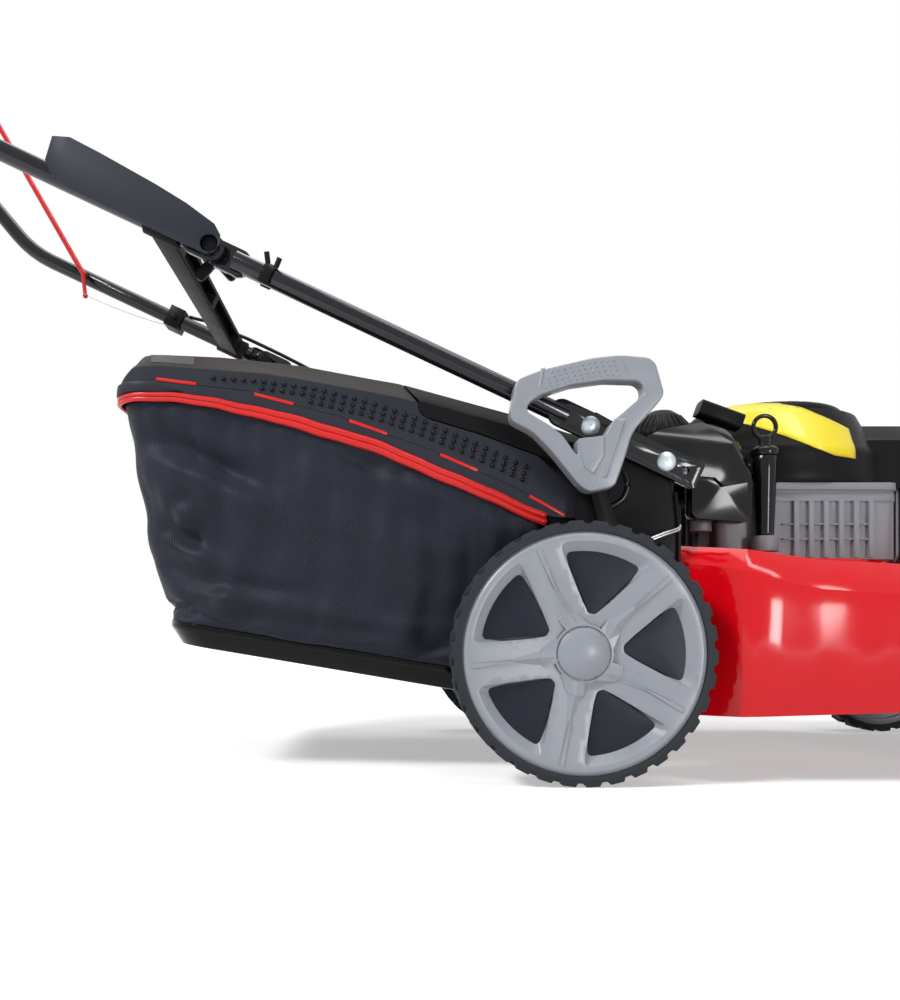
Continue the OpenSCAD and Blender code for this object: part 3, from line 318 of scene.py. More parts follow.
def lerp(table, x):
    # linear reading of a table of (x, y) pairs
    if x <= table[0][0]:
        return table[0][1]
    for (x0, y0), (x1, y1) in zip(table, table[1:]):
        if x <= x1:
            return y0 + (y1 - y0) * (x - x0) / (x1 - x0)
    return table[-1][1]


def softLine(table, x, reach=16):
    # a table read with its corners rounded over a reach
    return (lerp(table, x - reach) + 2 * lerp(table, x) + lerp(table, x + reach)) / 4


def smoothstep(a, b, x):
    t = max(0.0, min(1.0, (x - a) / (b - a)))
    return t * t * (3 - 2 * t)


def bellAt(offset, width):
    return math.exp(-(offset / width) ** 2)


def softenNode(obj, width=0.7, sharp=32):
    # welds the node's triangles for display and rounds its hard edges a little
    weld = obj.modifiers.new("weld", "WELD")
    weld.merge_threshold = 0.00002
    bevel = obj.modifiers.new("bevel", "BEVEL")
    bevel.width = width / 1000
    bevel.segments = 2
    bevel.limit_method = "ANGLE"
    bevel.angle_limit = math.radians(sharp)
    bevel.harden_normals = True
    bevel.use_clamp_overlap = True
    for poly in obj.data.polygons:
        poly.use_smooth = True


def platePiece(name, outer, holes, y0, y1, bevel, body, mat, replaces=()):
    # a plate between two values of y, in millimetres, with rounded edges, from outlines in ahead and up
    curve = bpy.data.curves.new(name, "CURVE")
    curve.dimensions = "2D"
    curve.fill_mode = "BOTH"
    for loop in [outer] + list(holes):
        spline = curve.splines.new("POLY")
        spline.points.add(len(loop) - 1)
        for point, (px, pz) in zip(spline.points, loop):
            point.co = (px / 1000, pz / 1000, 0, 1)
        spline.use_cyclic_u = True
    curve.extrude = abs(y1 - y0) / 2000 - bevel / 1000
    curve.bevel_depth = bevel / 1000
    curve.bevel_resolution = 3
    curve.offset = -bevel / 1000
    temp = linkNew(name + "Curve", curve)
    upright = Matrix.Rotation(math.radians(90), 4, "X")
    temp.matrix_world = Matrix.Translation(at(0, (y0 + y1) / 2, 0)) @ upright
    bpy.context.view_layer.update()
    graph = bpy.context.evaluated_depsgraph_get()
    mesh = bpy.data.meshes.new_from_object(temp.evaluated_get(graph))
    mesh.transform(temp.matrix_world)
    bpy.data.objects.remove(temp)
    obj = addPiece(name, mesh, body, mat, replaces=replaces)
    weld = obj.modifiers.new("weld", "WELD")
    weld.merge_threshold = 0.00001
    sharpFrom(obj, 40)
    return obj


def smoothLoop(points, cut, steps=4):
    # rounds the corners of a closed outline: each corner is cut back by up to this length
    out = []
    count = len(points)
    for i in range(count):
        p = Vector(points[i])
        before = Vector(points[i - 1]) - p
        after = Vector(points[(i + 1) % count]) - p
        r = min(cut, before.length * 0.45, after.length * 0.45)
        a = p + before.normalized() * r
        b = p + after.normalized() * r
        for k in range(steps + 1):
            t = k / steps
            out.append(tuple((1 - t) ** 2 * a + 2 * t * (1 - t) * p + t * t * b))
    return out


def sweepMesh(path, profile):
    # points and faces of a profile carried along a path; the profile lies across the path and up
    points, faces = [], []
    count = len(path)
    for i, p in enumerate(path):
        ahead = path[min(i + 1, count - 1)] - path[max(i - 1, 0)]
        ahead.normalize()
        side = ahead.cross(Vector((0, 0, 1)))
        if side.length < 0.01:
            side = ahead.cross(Vector((0, 1, 0)))
        side.normalize()
        up = side.cross(ahead)
        for a, b in profile:
            points.append(p + side * a + up * b)
    n = len(profile)
    faces.extend(gridFaces(count, n, True))
    faces.append(tuple(range(n - 1, -1, -1)))
    faces.append(tuple((count - 1) * n + k for k in range(n)))
    return points, faces


def gridFaces(rows, n, closed=False, start=0, flip=False):
    # quads between rows of n points each; closed joins the end of a row to its start
    faces = []
    for j in range(rows - 1):
        for k in range(n if closed else n - 1):
            a, b = start + j * n + k, start + j * n + (k + 1) % n
            faces.append((a, a + n, b + n, b) if flip else (a, b, b + n, a + n))
    return faces


def joinParts(parts):
    # several pairs of points and faces as one
    points, faces = [], []
    for morePoints, moreFaces in parts:
        faces.extend(tuple(len(points) + q for q in face) for face in moreFaces)
        points.extend(morePoints)
    return points, faces


def circleProfile(r, n):
    turns = [2 * math.pi * k / n for k in range(n)]
    return [(r * math.cos(turn) / 1000, r * math.sin(turn) / 1000) for turn in turns]


def smoothPath(points, step):
    # a curve through all points, with this many steps between each pair
    out = []
    pts = [points[0]] + list(points) + [points[-1]]
    for i in range(1, len(pts) - 2):
        p0, p1, p2, p3 = pts[i - 1], pts[i], pts[i + 1], pts[i + 2]
        for k in range(step):
            t = k / step
            out.append(0.5 * ((2 * p1) + (p2 - p0) * t + (2 * p0 - 5 * p1 + 4 * p2 - p3) * t * t
                              + (3 * p1 - p0 - 3 * p2 + p3) * t ** 3))
    out.append(points[-1])
    return out


def beadMesh(name, spots, r, flat, body, mat):
    beads = bmesh.new()
    for spot in spots:
        made = bmesh.ops.create_uvsphere(beads, u_segments=14, v_segments=9, radius=r / 1000)
        place = Matrix.Translation(spot) @ Matrix.Diagonal((1, flat, 1, 1))
        bmesh.ops.transform(beads, matrix=place, verts=made["verts"])
    mesh = bpy.data.meshes.new(name)
    beads.to_mesh(mesh)
    beads.free()
    return addPiece(name, mesh, body, mat)


# the bag's lines, each a table of ahead and up: seam, pan's edge, and both edges of the lid's bevel
bag = {"half": 197, "rear": -521, "front": 14}
seamLine = [(-521, 431), (-460, 429), (-402, 423), (-306, 399), (-231, 377), (-137, 338), (-25, 288),
            (14, 287)]
lowLine = [(-470, 178), (-33, 105)]
bevelLow = [(-521, 449), (-497, 466), (-470, 468), (-345, 458), (-306, 452), (-194, 431), (-173, 425.4),
            (-171, 414), (-163.5, 406.7), (-146, 401.2), (-103, 388.4), (-35, 363), (14, 318)]
bevelTop = [(-500, 480), (-488, 482), (-398, 478), (-306, 468), (-226, 453), (-194, 447.5), (-188, 445.5),
            (-186, 438.5), (-71, 405), (-22, 390)]


def bagRing(x0, x1, half, r, along, corner=9, extra=()):
    # seen from above, open side forward, from the front left corner round the rear to the front right
    shares = sorted([i / along for i in range(along + 1)] + list(extra))
    side = [(x1 + (x0 + r - x1) * share, half) for share in shares]
    turns = [math.radians(90 + 90 * k / corner) for k in range(1, corner + 1)]
    turn = [(x0 + r + r * math.cos(a), half - r + r * math.sin(a)) for a in turns]
    backHalf = half - r
    back = [(x0, backHalf - 2 * backHalf * k / 10) for k in range(1, 10)]
    left = side + turn
    return left + back + [(x, -y) for x, y in reversed(left)]


# the cloth sides: one sheet round the bag, held along the pan, the seam and the mouth
cloth = {"rows": 44, "front": -34, "corner": 42, "across": 24, "height": 0.26,
         "rear": [(0, -466), (0.08, -461), (0.16, -466), (0.33, -485), (0.5, -496), (0.65, -500),
                  (0.8, -499), (1, -517)],
         "half": [(0, 176), (0.16, 179), (0.5, 188), (0.8, 192), (1, 195)],
         "mouth": {"ahead": -40, "half": 166, "low": 212},
         "slack": 0.030, "reach": 0.012, "fold": 1.6, "gather": 1.6, "ripple": 4.0, "thick": 0.0009}
# folds that the hand and the frame leave: both ends in ahead and up, a width and a depth
folds = [((-478, 386), (-356, 330), 15, -11.0), ((-462, 364), (-372, 322), 13, 6.5),
         ((-440, 340), (-330, 290), 20, 5.0), ((-500, 330), (-470, 268), 22, -7.0),
         ((-462, 282), (-418, 258), 12, -8.0), ((-446, 262), (-396, 236), 12, 6.0),
         ((-478, 252), (-404, 214), 13, -6.0), ((-455, 206), (-330, 196), 10, 5.0),
         ((-462, 190), (-230, 164), 9, -4.0), ((-400, 220), (-300, 206), 9, -4.0),
         ((-330, 190), (-60, 150), 10, 3.4), ((-262, 372), (-170, 340), 13, -6.5),
         ((-230, 350), (-140, 318), 14, 4.0), ((-320, 396), (-240, 372), 12, 4.0),
         ((-300, 300), (-180, 262), 30, 3.5), ((-170, 262), (-60, 190), 22, -5.0),
         ((-210, 300), (-120, 262), 16, -3.5), ((-120, 310), (-50, 270), 15, 4.0)]


def clothGrid():
    # rings of points from the pan's edge up to the seam
    grid = []
    for j in range(cloth["rows"] + 1):
        t = j / cloth["rows"]
        rear, half = softLine(cloth["rear"], t, 0.04), softLine(cloth["half"], t, 0.05)
        ring = bagRing(rear, cloth["front"], half, cloth["corner"], 52, 10)
        frontHalf, across = ring[0][1], cloth["across"]
        ring += [(cloth["front"], -frontHalf + 2 * frontHalf * k / across) for k in range(1, across)]
        row = []
        for x, y in ring:
            low, high = lerp(lowLine, x), softLine(seamLine, x) - 4
            row.append(at(x, y, low + (high - low) * t))
        grid.append(row)
    return grid


def inMouth(points):
    ahead, left, up = fromAt(sum(points, Vector()) / len(points))
    mouth = cloth["mouth"]
    return ahead > mouth["ahead"] and abs(left) < mouth["half"] and up > mouth["low"]


def layFlat(obj, grid, used):
    # flat coordinates in metres: along the ring and up the sheet
    sheetMap = obj.data.uv_layers.new(name="sheet")
    n, top = len(grid[0]), grid[-1]
    along = [0.0]
    for i in range(n):
        along.append(along[-1] + (top[(i + 1) % n] - top[i]).length)
    for poly in obj.data.polygons:
        spots = [used[obj.data.loops[k].vertex_index] for k in poly.loop_indices]
        columns = [q % n for q in spots]
        wraps = max(columns) == n - 1 and min(columns) == 0
        for k, q, i in zip(poly.loop_indices, spots, columns):
            up = cloth["height"] * (q // n) / cloth["rows"]
            sheetMap.data[k].uv = (along[n] if wraps and i == 0 else along[i], up)


def settleCloth(obj, held):
    # the sheet is a little too large between its held edges, so it buckles
    rest = [v.co.copy() for v in obj.data.vertices]
    group = obj.vertex_groups.new(name="held")
    group.add(held, 1.0, "REPLACE")
    sim = obj.modifiers.new("cloth", "CLOTH")
    sim.settings.quality = 6
    sim.settings.mass = 0.25
    sim.settings.tension_stiffness = 12
    sim.settings.compression_stiffness = 12
    sim.settings.shear_stiffness = 6
    sim.settings.bending_stiffness = 0.6
    sim.settings.vertex_group_mass = "held"
    sim.settings.shrink_min = -cloth["slack"]
    sim.settings.use_pressure = False
    sim.collision_settings.use_collision = False
    scene = bpy.context.scene
    for step in range(1, 31):
        scene.frame_set(step)
    graph = bpy.context.evaluated_depsgraph_get()
    moved = [v.co.copy() for v in obj.evaluated_get(graph).data.vertices]
    obj.modifiers.remove(sim)
    obj.vertex_groups.clear()
    scene.frame_set(1)
    for v, new, old in zip(obj.data.vertices, moved, rest):
        way = new - old
        v.co = old + way * min(1.0, cloth["reach"] / max(way.length, 1e-6))


def foldPush(ahead, up):
    # how far the folds and the round dent at the rear push the cloth outward
    push = 0.0
    for start, end, width, depth in folds:
        line = Vector(end) - Vector(start)
        here = Vector((ahead, up)) - Vector(start)
        s = max(0.0, min(1.0, here.dot(line) / line.length_squared))
        gap = (here - line * s).length
        push += depth * bellAt(gap, width) * math.sin(math.pi * (0.12 + 0.76 * s))
    dent = math.hypot(ahead + 440, up - 292)
    return push + (4.0 * bellAt(dent, 15) - 3.0 * bellAt(dent - 24, 8))


def foldCloth(obj):
    for v in obj.data.vertices:
        ahead, left, up = fromAt(v.co)
        if ahead > -44:
            continue
        low, high = lerp(lowLine, ahead), lerp(seamLine, ahead)
        t = (up - low) / max(1, high - low)
        ease = min(1, t * 9) * min(1, max(0, (0.985 - t) * 9))
        seam = bellAt(1 - t, 0.12) * 2.8 * math.sin(ahead / 15 + 2 * math.sin(ahead / 47))
        hem = bellAt(t - 0.12, 0.08) * 2.6 * math.sin(ahead / 17 + 1.3 * math.sin(ahead / 31))
        ripple = cloth["ripple"] * noise.noise(Vector((ahead / 74, left / 74, up / 46)))
        ripple += 1.1 * noise.noise(Vector((ahead / 23 + 5, left / 23, up / 19)))
        push = foldPush(ahead, up)
        amount = (push * cloth["fold"] + cloth["gather"] * (seam + hem) + ripple) * ease / 1000
        if abs(left) > 120:
            v.co.y += amount * (1 if left > 0 else -1)
        if ahead < -430:
            v.co.x -= 0.6 * amount
    obj.data.update()


def buildCloth():
    grid = clothGrid()
    n = len(grid[0])
    points = [p for row in grid for p in row]
    faces = [quad for quad in gridFaces(len(grid), n, True) if not inMouth([points[q] for q in quad])]
    used = sorted({q for face in faces for q in face})
    renumber = {q: i for i, q in enumerate(used)}
    mouthX = at(cloth["mouth"]["ahead"], 0, 0).x
    held = [renumber[q] for q in used if q < n or q >= len(points) - n or points[q].x > mouthX]
    faces = [tuple(renumber[q] for q in face) for face in faces]
    obj = addMesh("bagCloth", [points[q] for q in used], faces, "grass_bag", "bag_cloth",
                  replaces=("bag_fabric",))
    layFlat(obj, grid, used)
    settleCloth(obj, held)
    foldCloth(obj)
    thicken(obj, cloth["thick"])
    smooth = obj.modifiers.new("smooth", "SUBSURF")
    smooth.levels = smooth.render_levels = 1


buildCloth()

# the flap lies over the lid's front, so there the lid is tucked in, from this share of its side's length
flapStart = {"low": -172, "top": -187, "tuck": 4.5, "share": 0.3758}


def buildLid():
    half, rear, front = bag["half"], bag["rear"], bag["front"]
    # each ring: rear end, front end, half width, corner radius, line of height, lift and 1 if tucked in
    rings = [(rear + 1.5, front - 1, half - 2.6, 39, seamLine, 4.8, 0),
             (rear, front, half, 40, seamLine, 4.8, 0),
             (rear, front, half, 40, seamLine, 7.5, 0),
             (rear - 0.5, front, half, 40, None, 0, 0),
             (rear, front, half - 0.2, 40, bevelLow, -2.6, 0),
             (rear + 0.6, front, half - 0.9, 40, bevelLow, -1.2, 0),
             (rear + 2.6, front, half - 2.0, 40, bevelLow, 0, 1),
             (rear + 20, -20, half - 13, 37, bevelTop, 0, 1),
             (rear + 24, -23, half - 16.5, 36, bevelTop, 1.1, 1),
             (rear + 70, -60, 112, 36, bevelTop, 4, 0),
             (rear + 160, -120, 40, 30, bevelTop, 6, 0)]
    share = flapStart["share"]
    near = [share + step for step in (-0.012, -0.0022, -0.0004, 0.0004, 0.0022, 0.012)]
    points = []
    for x0, x1, wide, r, line, lift, tucked in rings:
        for x, y in bagRing(x0, x1, wide, r, 60, extra=near):
            if line is None:
                # midway between the seam and the bevel
                z = 0.5 * (softLine(seamLine, x) + 4.8) + 0.5 * softLine(bevelLow, x, 1)
            else:
                z = softLine(line, x, 0.6 if line is not seamLine else 16) + lift
            if tucked:
                edge = flapStart["low"] if line is bevelLow else flapStart["top"]
                limit = wide - flapStart["tuck"] * smoothstep(edge - 1, edge + 1, x)
                y = max(-limit, min(limit, y))
            points.append(at(x, y, z))
    n = len(points) // len(rings)
    faces = gridFaces(len(rings), n)
    last = (len(rings) - 1) * n
    for i in range(n // 2 - 1):
        faces.append((last + i, last + i + 1, last + n - 2 - i, last + n - 1 - i))
    # close the front above the mouth
    for j in range(6, len(rings) - 1):
        faces.append((j * n, (j + 1) * n, (j + 2) * n - 1, (j + 1) * n - 1))
    obj = addMesh("bagLid", points, faces, "grass_bag", "lid_plastic", replaces=("bag_lid",))
    sharpFrom(obj, 24)
    thicken(obj, 0.0026)
    return obj


lidMesh = buildLid().data
lidFaces = [tuple(face.vertices) for face in lidMesh.polygons]
lidSurface = BVHTree.FromPolygons([v.co for v in lidMesh.vertices], lidFaces)


def onLid(x, z, side, proud):
    # the point of the lid's side at this ahead and up, moved outward
    hit = lidSurface.ray_cast(at(x, side * 400, z), Vector((0, -side, 0)))[0]
    return hit + Vector((0, side * proud / 1000, 0))


# beads stand on both sides of the lid, in columns that grow from one to three
vents = {"first": -405, "pitch": 11.45, "columns": 32, "r": 2.9, "row": 7.7, "lean": 2.0, "flat": 0.8,
         "line": [(-405, 451), (-348, 447), (-290, 439), (-230, 424), (-209, 417), (-186, 409),
                  (-164, 401), (-153, 396), (-119, 381.5), (-97, 371.5), (-52, 350.4)]}
spots = []
for side in (-1, 1):
    for column in range(vents["columns"]):
        for row in range(1 if column < 5 else 2 if column < 10 else 3):
            x = vents["first"] + vents["pitch"] * column - vents["lean"] * row
            spots.append(onLid(x, lerp(vents["line"], x) - vents["row"] * row, side, 0.4))
beadMesh("ventBeads", spots, vents["r"], vents["flat"], "grass_bag", "ventBead")

# a fine ridge runs under the beads and steps down at the start of each insert
inserts = {"middles": [(-447, 447, -7), (-336, 427, -14), (-229, 395, -19), (-126, 355, -23),
                       (-26, 306, -29)],
           "half": 23, "step": 4.5, "ridge": 0.8}


def lidRidge(side, here, following):
    # from the tail of one insert to the head of the following one, with a tooth at its end
    (x0, z0, tilt0), (x1, z1, tilt1) = here, following
    tilt0, tilt1 = math.radians(tilt0), math.radians(tilt1)
    half = inserts["half"]
    tailX, tailZ = x0 + half * math.cos(tilt0) + 2, z0 + half * math.sin(tilt0) - 0.5
    headX, headZ = x1 - half * math.cos(tilt1), z1 - half * math.sin(tilt1)
    crestX, crestZ = headX - 5, headZ + inserts["step"]
    track = [(tailX + (crestX - tailX) * k / 8, tailZ + (crestZ - tailZ) * k / 8) for k in range(9)]
    track += [(crestX + 3, crestZ - 3.5), (headX, headZ)]
    return sweepMesh([onLid(x, z, side, 0.05) for x, z in track], circleProfile(inserts["ridge"], 8))


middles = inserts["middles"]
ridges = [lidRidge(side, *pair) for side in (-1, 1) for pair in zip(middles, middles[1:])]
addMesh("lidRidges", *joinParts(ridges), "grass_bag", "lid_plastic")

# the lid's collar bulges round its rear and runs out forward into a thin step
collar = {"bulge": 3.2, "front": -438, "full": -492, "corner": 40,
          "top": [(-521, 449), (-500, 448.5), (-470, 447), (-440, 441)],
          # share of the height, lift and share of the bulge
          "rows": [(0, 4.6, 0.3), (0, 5.6, 1), (0.35, 0, 1.25), (0.8, 0, 1), (0.93, 0, 0.85), (1, 0, 0.3),
                   (1, 0.2, 0)]}


def buildCollar():
    corner = collar["corner"]
    ring = bagRing(bag["rear"], bag["front"], bag["half"], corner, 120, 12)
    ring = [p for p in ring if p[0] < collar["front"]]
    points = []
    for share, lift, swell in collar["rows"]:
        for x, y in ring:
            low, high = softLine(seamLine, x), lerp(collar["top"], x)
            out = 0.15 + collar["bulge"] * swell * smoothstep(collar["front"], collar["full"], x)
            beyond = math.copysign(max(0, abs(y) - bag["half"] + corner), y)
            way = Vector((min(0, x - bag["rear"] - corner), beyond))
            way.normalize()
            points.append(at(x + way.x * out, y + way.y * out, low + (high - low) * share + lift))
    addMesh("lidCollar", points, gridFaces(len(collar["rows"]), len(ring)), "grass_bag", "lid_plastic")


buildCollar()

# a pale window let into the lid's sloping edge on both sides; low and high are shares of the slope
lidWindow = {"rear": -476, "length": 49, "steps": 8, "low": 0.16, "high": 0.95, "thick": 0.0005}
panes = []
for side in (-1, 1):
    points = []
    for i in range(lidWindow["steps"] + 1):
        x = lidWindow["rear"] + lidWindow["length"] * i / lidWindow["steps"]
        for t in (lidWindow["low"], lidWindow["high"]):
            z = lerp(bevelLow, x) * (1 - t) + lerp(bevelTop, x) * t
            points.append(at(x - 3 * t, side * (bag["half"] - 1.6 - 11 * t), z + 0.25))
    panes.append((points, gridFaces(lidWindow["steps"] + 1, 2, flip=True)))
thicken(addMesh("lidWindows", *joinParts(panes), "grass_bag", "lidWindow", smooth=False), lidWindow["thick"])

# piping: two cords with the zip's dark line between them
piping = {"r": [(-500, 2.7), (-420, 3.0), (-300, 4.1), (-60, 4.0)], "zip": 1.9, "sides": 14, "proud": 1.2}


def buildPiping(name, drop, mat, replaces=()):
    # drop is 1 for the upper cord, -1 for the lower one and 0 for the zip
    ring = bagRing(bag["rear"] - 0.5, -27, bag["half"] + piping["proud"], 41, 90)
    pipe = []
    for x, y in ring:
        pipe.append(at(x, y, softLine(seamLine, x) + 0.7 * math.sin(x / 19) + 0.35 * math.sin(x / 7.3)))
    sizes = [lerp(piping["r"], fromAt(p)[0]) for p in pipe]
    track = [p + Vector((0, 0, drop * r * 0.9 / 1000)) for p, r in zip(pipe, sizes)]
    sides = piping["sides"]
    points, faces = sweepMesh(track, circleProfile(1.0, sides))
    for i, (p, r) in enumerate(zip(track, sizes)):
        for k in range(i * sides, (i + 1) * sides):
            points[k] = p + (points[k] - p) * (r if drop else piping["zip"])
    addMesh(name, points, faces, "grass_bag", mat, replaces=replaces)


buildPiping("pipingUpper", 1, "piping_cloth", ("bag_piping",))
buildPiping("pipingLower", -1, "piping_cloth")
buildPiping("pipingZip", 0, "bag_cloth")

# flap over the lid's front: its rear edge slants down to a short upright, then follows the lid's edge.
# The lines give the height at an ahead; each row gives the ahead of its top, middle and low point
flap = {"top": [(-190, 446.5), (-71, 414), (0, 391), (28, 384)],
        "mid": [(-190, 430), (-172, 425), (-47, 391), (28, 371)],
        "low": [(-172, 414), (-163.7, 406.7), (-146.4, 401.2), (-102.6, 388.4), (-35, 363), (28, 341)],
        "rows": [(-188, -172, -172), (-172, -165, -164), (-155, -153, -152), (-128, -128, -128),
                 (-100, -100, -100), (-71, -71, -71), (-36, -36, -36), (0, 0, 0), (27, 27, 27)],
        "proud": 0.9, "thick": 2.2}


def buildFlap():
    points, faces = [], []
    half, wall = bag["half"], flap["thick"]
    out = half + flap["proud"]
    for top, mid, low in flap["rows"]:
        t, m, b = lerp(flap["top"], top), lerp(flap["mid"], mid), lerp(flap["low"], low)
        outer = [(low, out, b), (mid, out - 0.4, m), (mid, half - 0.4, m + 1.4),
                 (top, half - 10.6, t - 0.7), (top, half - 12, t), (top, 100, t + 4.6)]
        inner = [(low, out - wall, b), (mid, half - 1.6, m), (mid, half - 2.4, m + 1),
                 (top, half - 12.6, t - 2.6), (top, half - 14, t - 2.4), (top, 100, t + 2.2)]
        for skin in (outer, inner):
            for x, y, z in skin + [(x, -y, z) for x, y, z in reversed(skin)]:
                points.append(at(x, y, z))
    # in a row, 0 to 11 are the outer skin from left to right and 12 to 23 the inner one
    n, count = 24, len(flap["rows"])
    pairs = [(k, k + 1) for k in range(11)] + [(11, 23)] + [(k, k + 1) for k in range(12, 23)] + [(12, 0)]
    for i in range(count - 1):
        faces.extend((i * n + a, i * n + b, (i + 1) * n + b, (i + 1) * n + a) for a, b in pairs)
    for i in (0, count - 1):
        faces.extend((i * n + k, i * n + k + 1, i * n + 13 + k, i * n + 12 + k) for k in range(11))
    sharpFrom(addMesh("flapSkin", points, faces, "rear_flap", slotOf["discharge_flap"],
                      replaces=("discharge_flap",)), 30)


buildFlap()
# two knuckles round the flap's rod, each with a strap to the skin
knuckle = {"ahead": 38, "up": 386, "r": 7, "ends": (60, 138)}
strap = [(-0.009, -0.002), (0.011, -0.002), (0.011, 0.002), (-0.009, 0.002)]
knuckles = []
for side in (-1, 1):
    for back, rise, profile in ((0, 0, circleProfile(knuckle["r"], 28)), (14, 0.5, strap)):
        x, z = knuckle["ahead"] - back, knuckle["up"] + rise
        knuckles.append(sweepMesh([at(x, side * end, z) for end in knuckle["ends"]], profile))
sharpFrom(addMesh("flapKnuckles", *joinParts(knuckles), "rear_flap", slotOf["discharge_flap"]), 30)
print("bag done")

# the height lever's grip; its outlines are in ahead and up
lever = {"inner": -229.05, "outer": -253.0, "edge": 2.4, "pebble": 1.35,
         "outline": [(-69, 434), (-41, 445), (14, 458), (45, 461), (75, 458), (82, 452), (91, 420),
                     (87, 412), (57, 378), (49, 351), (39, 322), (34, 318), (10, 313), (0, 320),
                     (-29, 356), (-50, 378), (-76, 391)],
         "window": [(-57, 400), (-55, 409), (-42, 418), (-8, 429), (28, 434), (62, 433), (68, 428),
                    (69, 418), (34, 388), (27, 374), (-3, 371), (-2, 353), (-6, 357), (-18, 374),
                    (-30, 384)],
         "block": [(-2, 370), (26, 374), (26, 352), (14, 332), (4, 340)]}
platePiece("leverGrip", smoothLoop(lever["outline"], 9), [smoothLoop(lever["window"], 5)], lever["outer"],
           lever["inner"], lever["edge"], "lever_axle", "grey_plastic", replaces=("lever_grip",))


def leverFacet(name, base, ridge, rise):
    # a low facet on the lever's outer face: its base outline and the two ends of its ridge line
    face = lever["outer"]
    corners = [at(x, face + 0.4, z) for x, z in base] + [at(x, face - rise, z) for x, z in ridge]
    sides = [(0, 1, 5, 4), (1, 2, 5), (2, 3, 4, 5), (3, 0, 4)]
    addMesh(name, corners, sides, "lever_axle", "grey_plastic", smooth=False)


leverFacet("leverFacetArm", [(37, 392), (49, 393), (29.5, 327), (21, 328)], [(47, 389), (28, 331)], 1.6)
leverFacet("leverFacetLeft", [(-46, 424), (-41, 424), (-37.5, 447), (-42, 446)],
           [(-43, 427), (-39.5, 444)], 0.9)
leverFacet("leverFacetRight", [(50, 437), (54, 437), (47, 458), (43, 458)], [(52, 440), (45, 455)], 0.7)
platePiece("leverBlock", smoothLoop(lever["block"], 2.5), [], lever["outer"] - 1.3, lever["inner"] - 3,
           1.2, "lever_axle", "grey_plastic")

# four rows of pebbles between the window's upper edge and the grip's upper edge
spots = []
for row in range(4):
    for k in range(14):
        x = -37 + 6.6 * k + (3.3 if row % 2 else 0) + 1.2 * row
        if x > 46 - row * 2.2:
            continue
        low, high = lerp(lever["window"][2:6], x), lerp(lever["outline"][1:5], x)
        spots.append(at(x, lever["outer"], low + (high - low) * (0.2 + 0.2 * row)))
beadMesh("leverPebbles", spots, lever["pebble"], 0.7, "lever_axle", "grey_plastic")


def wirePiece(name, points, r, body, mat, replaces=(), steps=6):
    track = smoothPath([at(*p) for p in points], steps)
    return addMesh(name, *sweepMesh(track, circleProfile(r, 10)), body, mat, replaces=replaces)


def coilPoints(start, end, r, turns):
    # a close-wound coil between two points
    along = Vector(end) - Vector(start)
    side = along.cross(Vector((0, 1, 0))).normalized()
    up = along.cross(side).normalized()
    out = []
    for k in range(turns * 10 + 1):
        turn = 2 * math.pi * k / 10
        ring = (side * math.cos(turn) + up * math.sin(turn)) * r
        out.append(tuple(Vector(start) + along * (k / (turns * 10)) + ring))
    return out


# the assist spring: a coil on the bracket's lip, then a doubled wire to the lever's plate
spring = {"left": -233.3, "coilR": 3.5, "coilWire": 0.9, "turns": 16, "wire": 1.15, "gap": 1.3}
left = spring["left"]
for tag, lift in (("Low", -spring["gap"]), ("High", spring["gap"])):
    hook = wirePiece("springHook" + tag,
                     [(82, left, 264.6 + lift), (98, -231, 270.5 + lift), (113, -224, 275.5 + lift),
                      (116.5, -221.5, 277.4 + lift), (118.5, -219.5, 280 - lift)],
                     spring["wire"], None, "bareWire", steps=8)
    at(48, left, 251)
    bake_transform(hook)
coil = coilPoints((52, left, 252.5), (80, left, 264), spring["coilR"], spring["turns"])
coilPiece = wirePiece("springCoil", [(46, left, 250), (49, left, 251)] + coil, spring["coilWire"], None,
                      "zinc", replaces=("assist_spring",), steps=1)
at(48, left, 251)
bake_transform(coilPiece)

# the bare end of the brake cable, from its clamp to the bail
bailRoute = [(-556, 202, 648), (-566, 200, 645.5), (-620, 196, 662), (-681, 193, 687)]
bareWire = wirePiece("bailWire", bailRoute, 0.8, None, "bareWire")
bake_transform(bareWire)
print("lever, spring and wires done")

# each wheel's detail is worked out from its rim: r is the tyre's radius and w the rim's width.
# A tongue or roof lies on a spoke; numbers after them are shares of r for both ends and both widths
wheel = {"angles": (114, 42, -30, -102, 186), "sides": 48,
         "tongue": (0.52, 0.85, 0.02, 0.052), "tongueRise": 1.6,
         "roof": (0.30, 0.58, 0.12, 0.024), "roofRise": 3.0,
         "dome": 0.205, "window": (0.275, 0.775), "windowHalf": 22.3}


def direction(degrees):
    a = math.radians(degrees)
    return Vector((math.cos(a), math.sin(a)))


def spokeForm(place, angle, ends, widths, depths, profile):
    # a long low form along a spoke; the profile is across and up, and it sinks toward the rim
    out = direction(angle)
    across = Vector((-out.y, out.x))
    points = []
    for radius, wide, depth, shrink in zip(ends, widths, depths, (1, 0.45)):
        for off, lift in profile:
            rise = lift * shrink if lift > 0 else lift
            points.append(place(out * radius + across * (off * wide / 2), depth + rise))
    n = len(profile)
    return points, gridFaces(2, n) + [tuple(range(n)), tuple(range(n, 2 * n))]


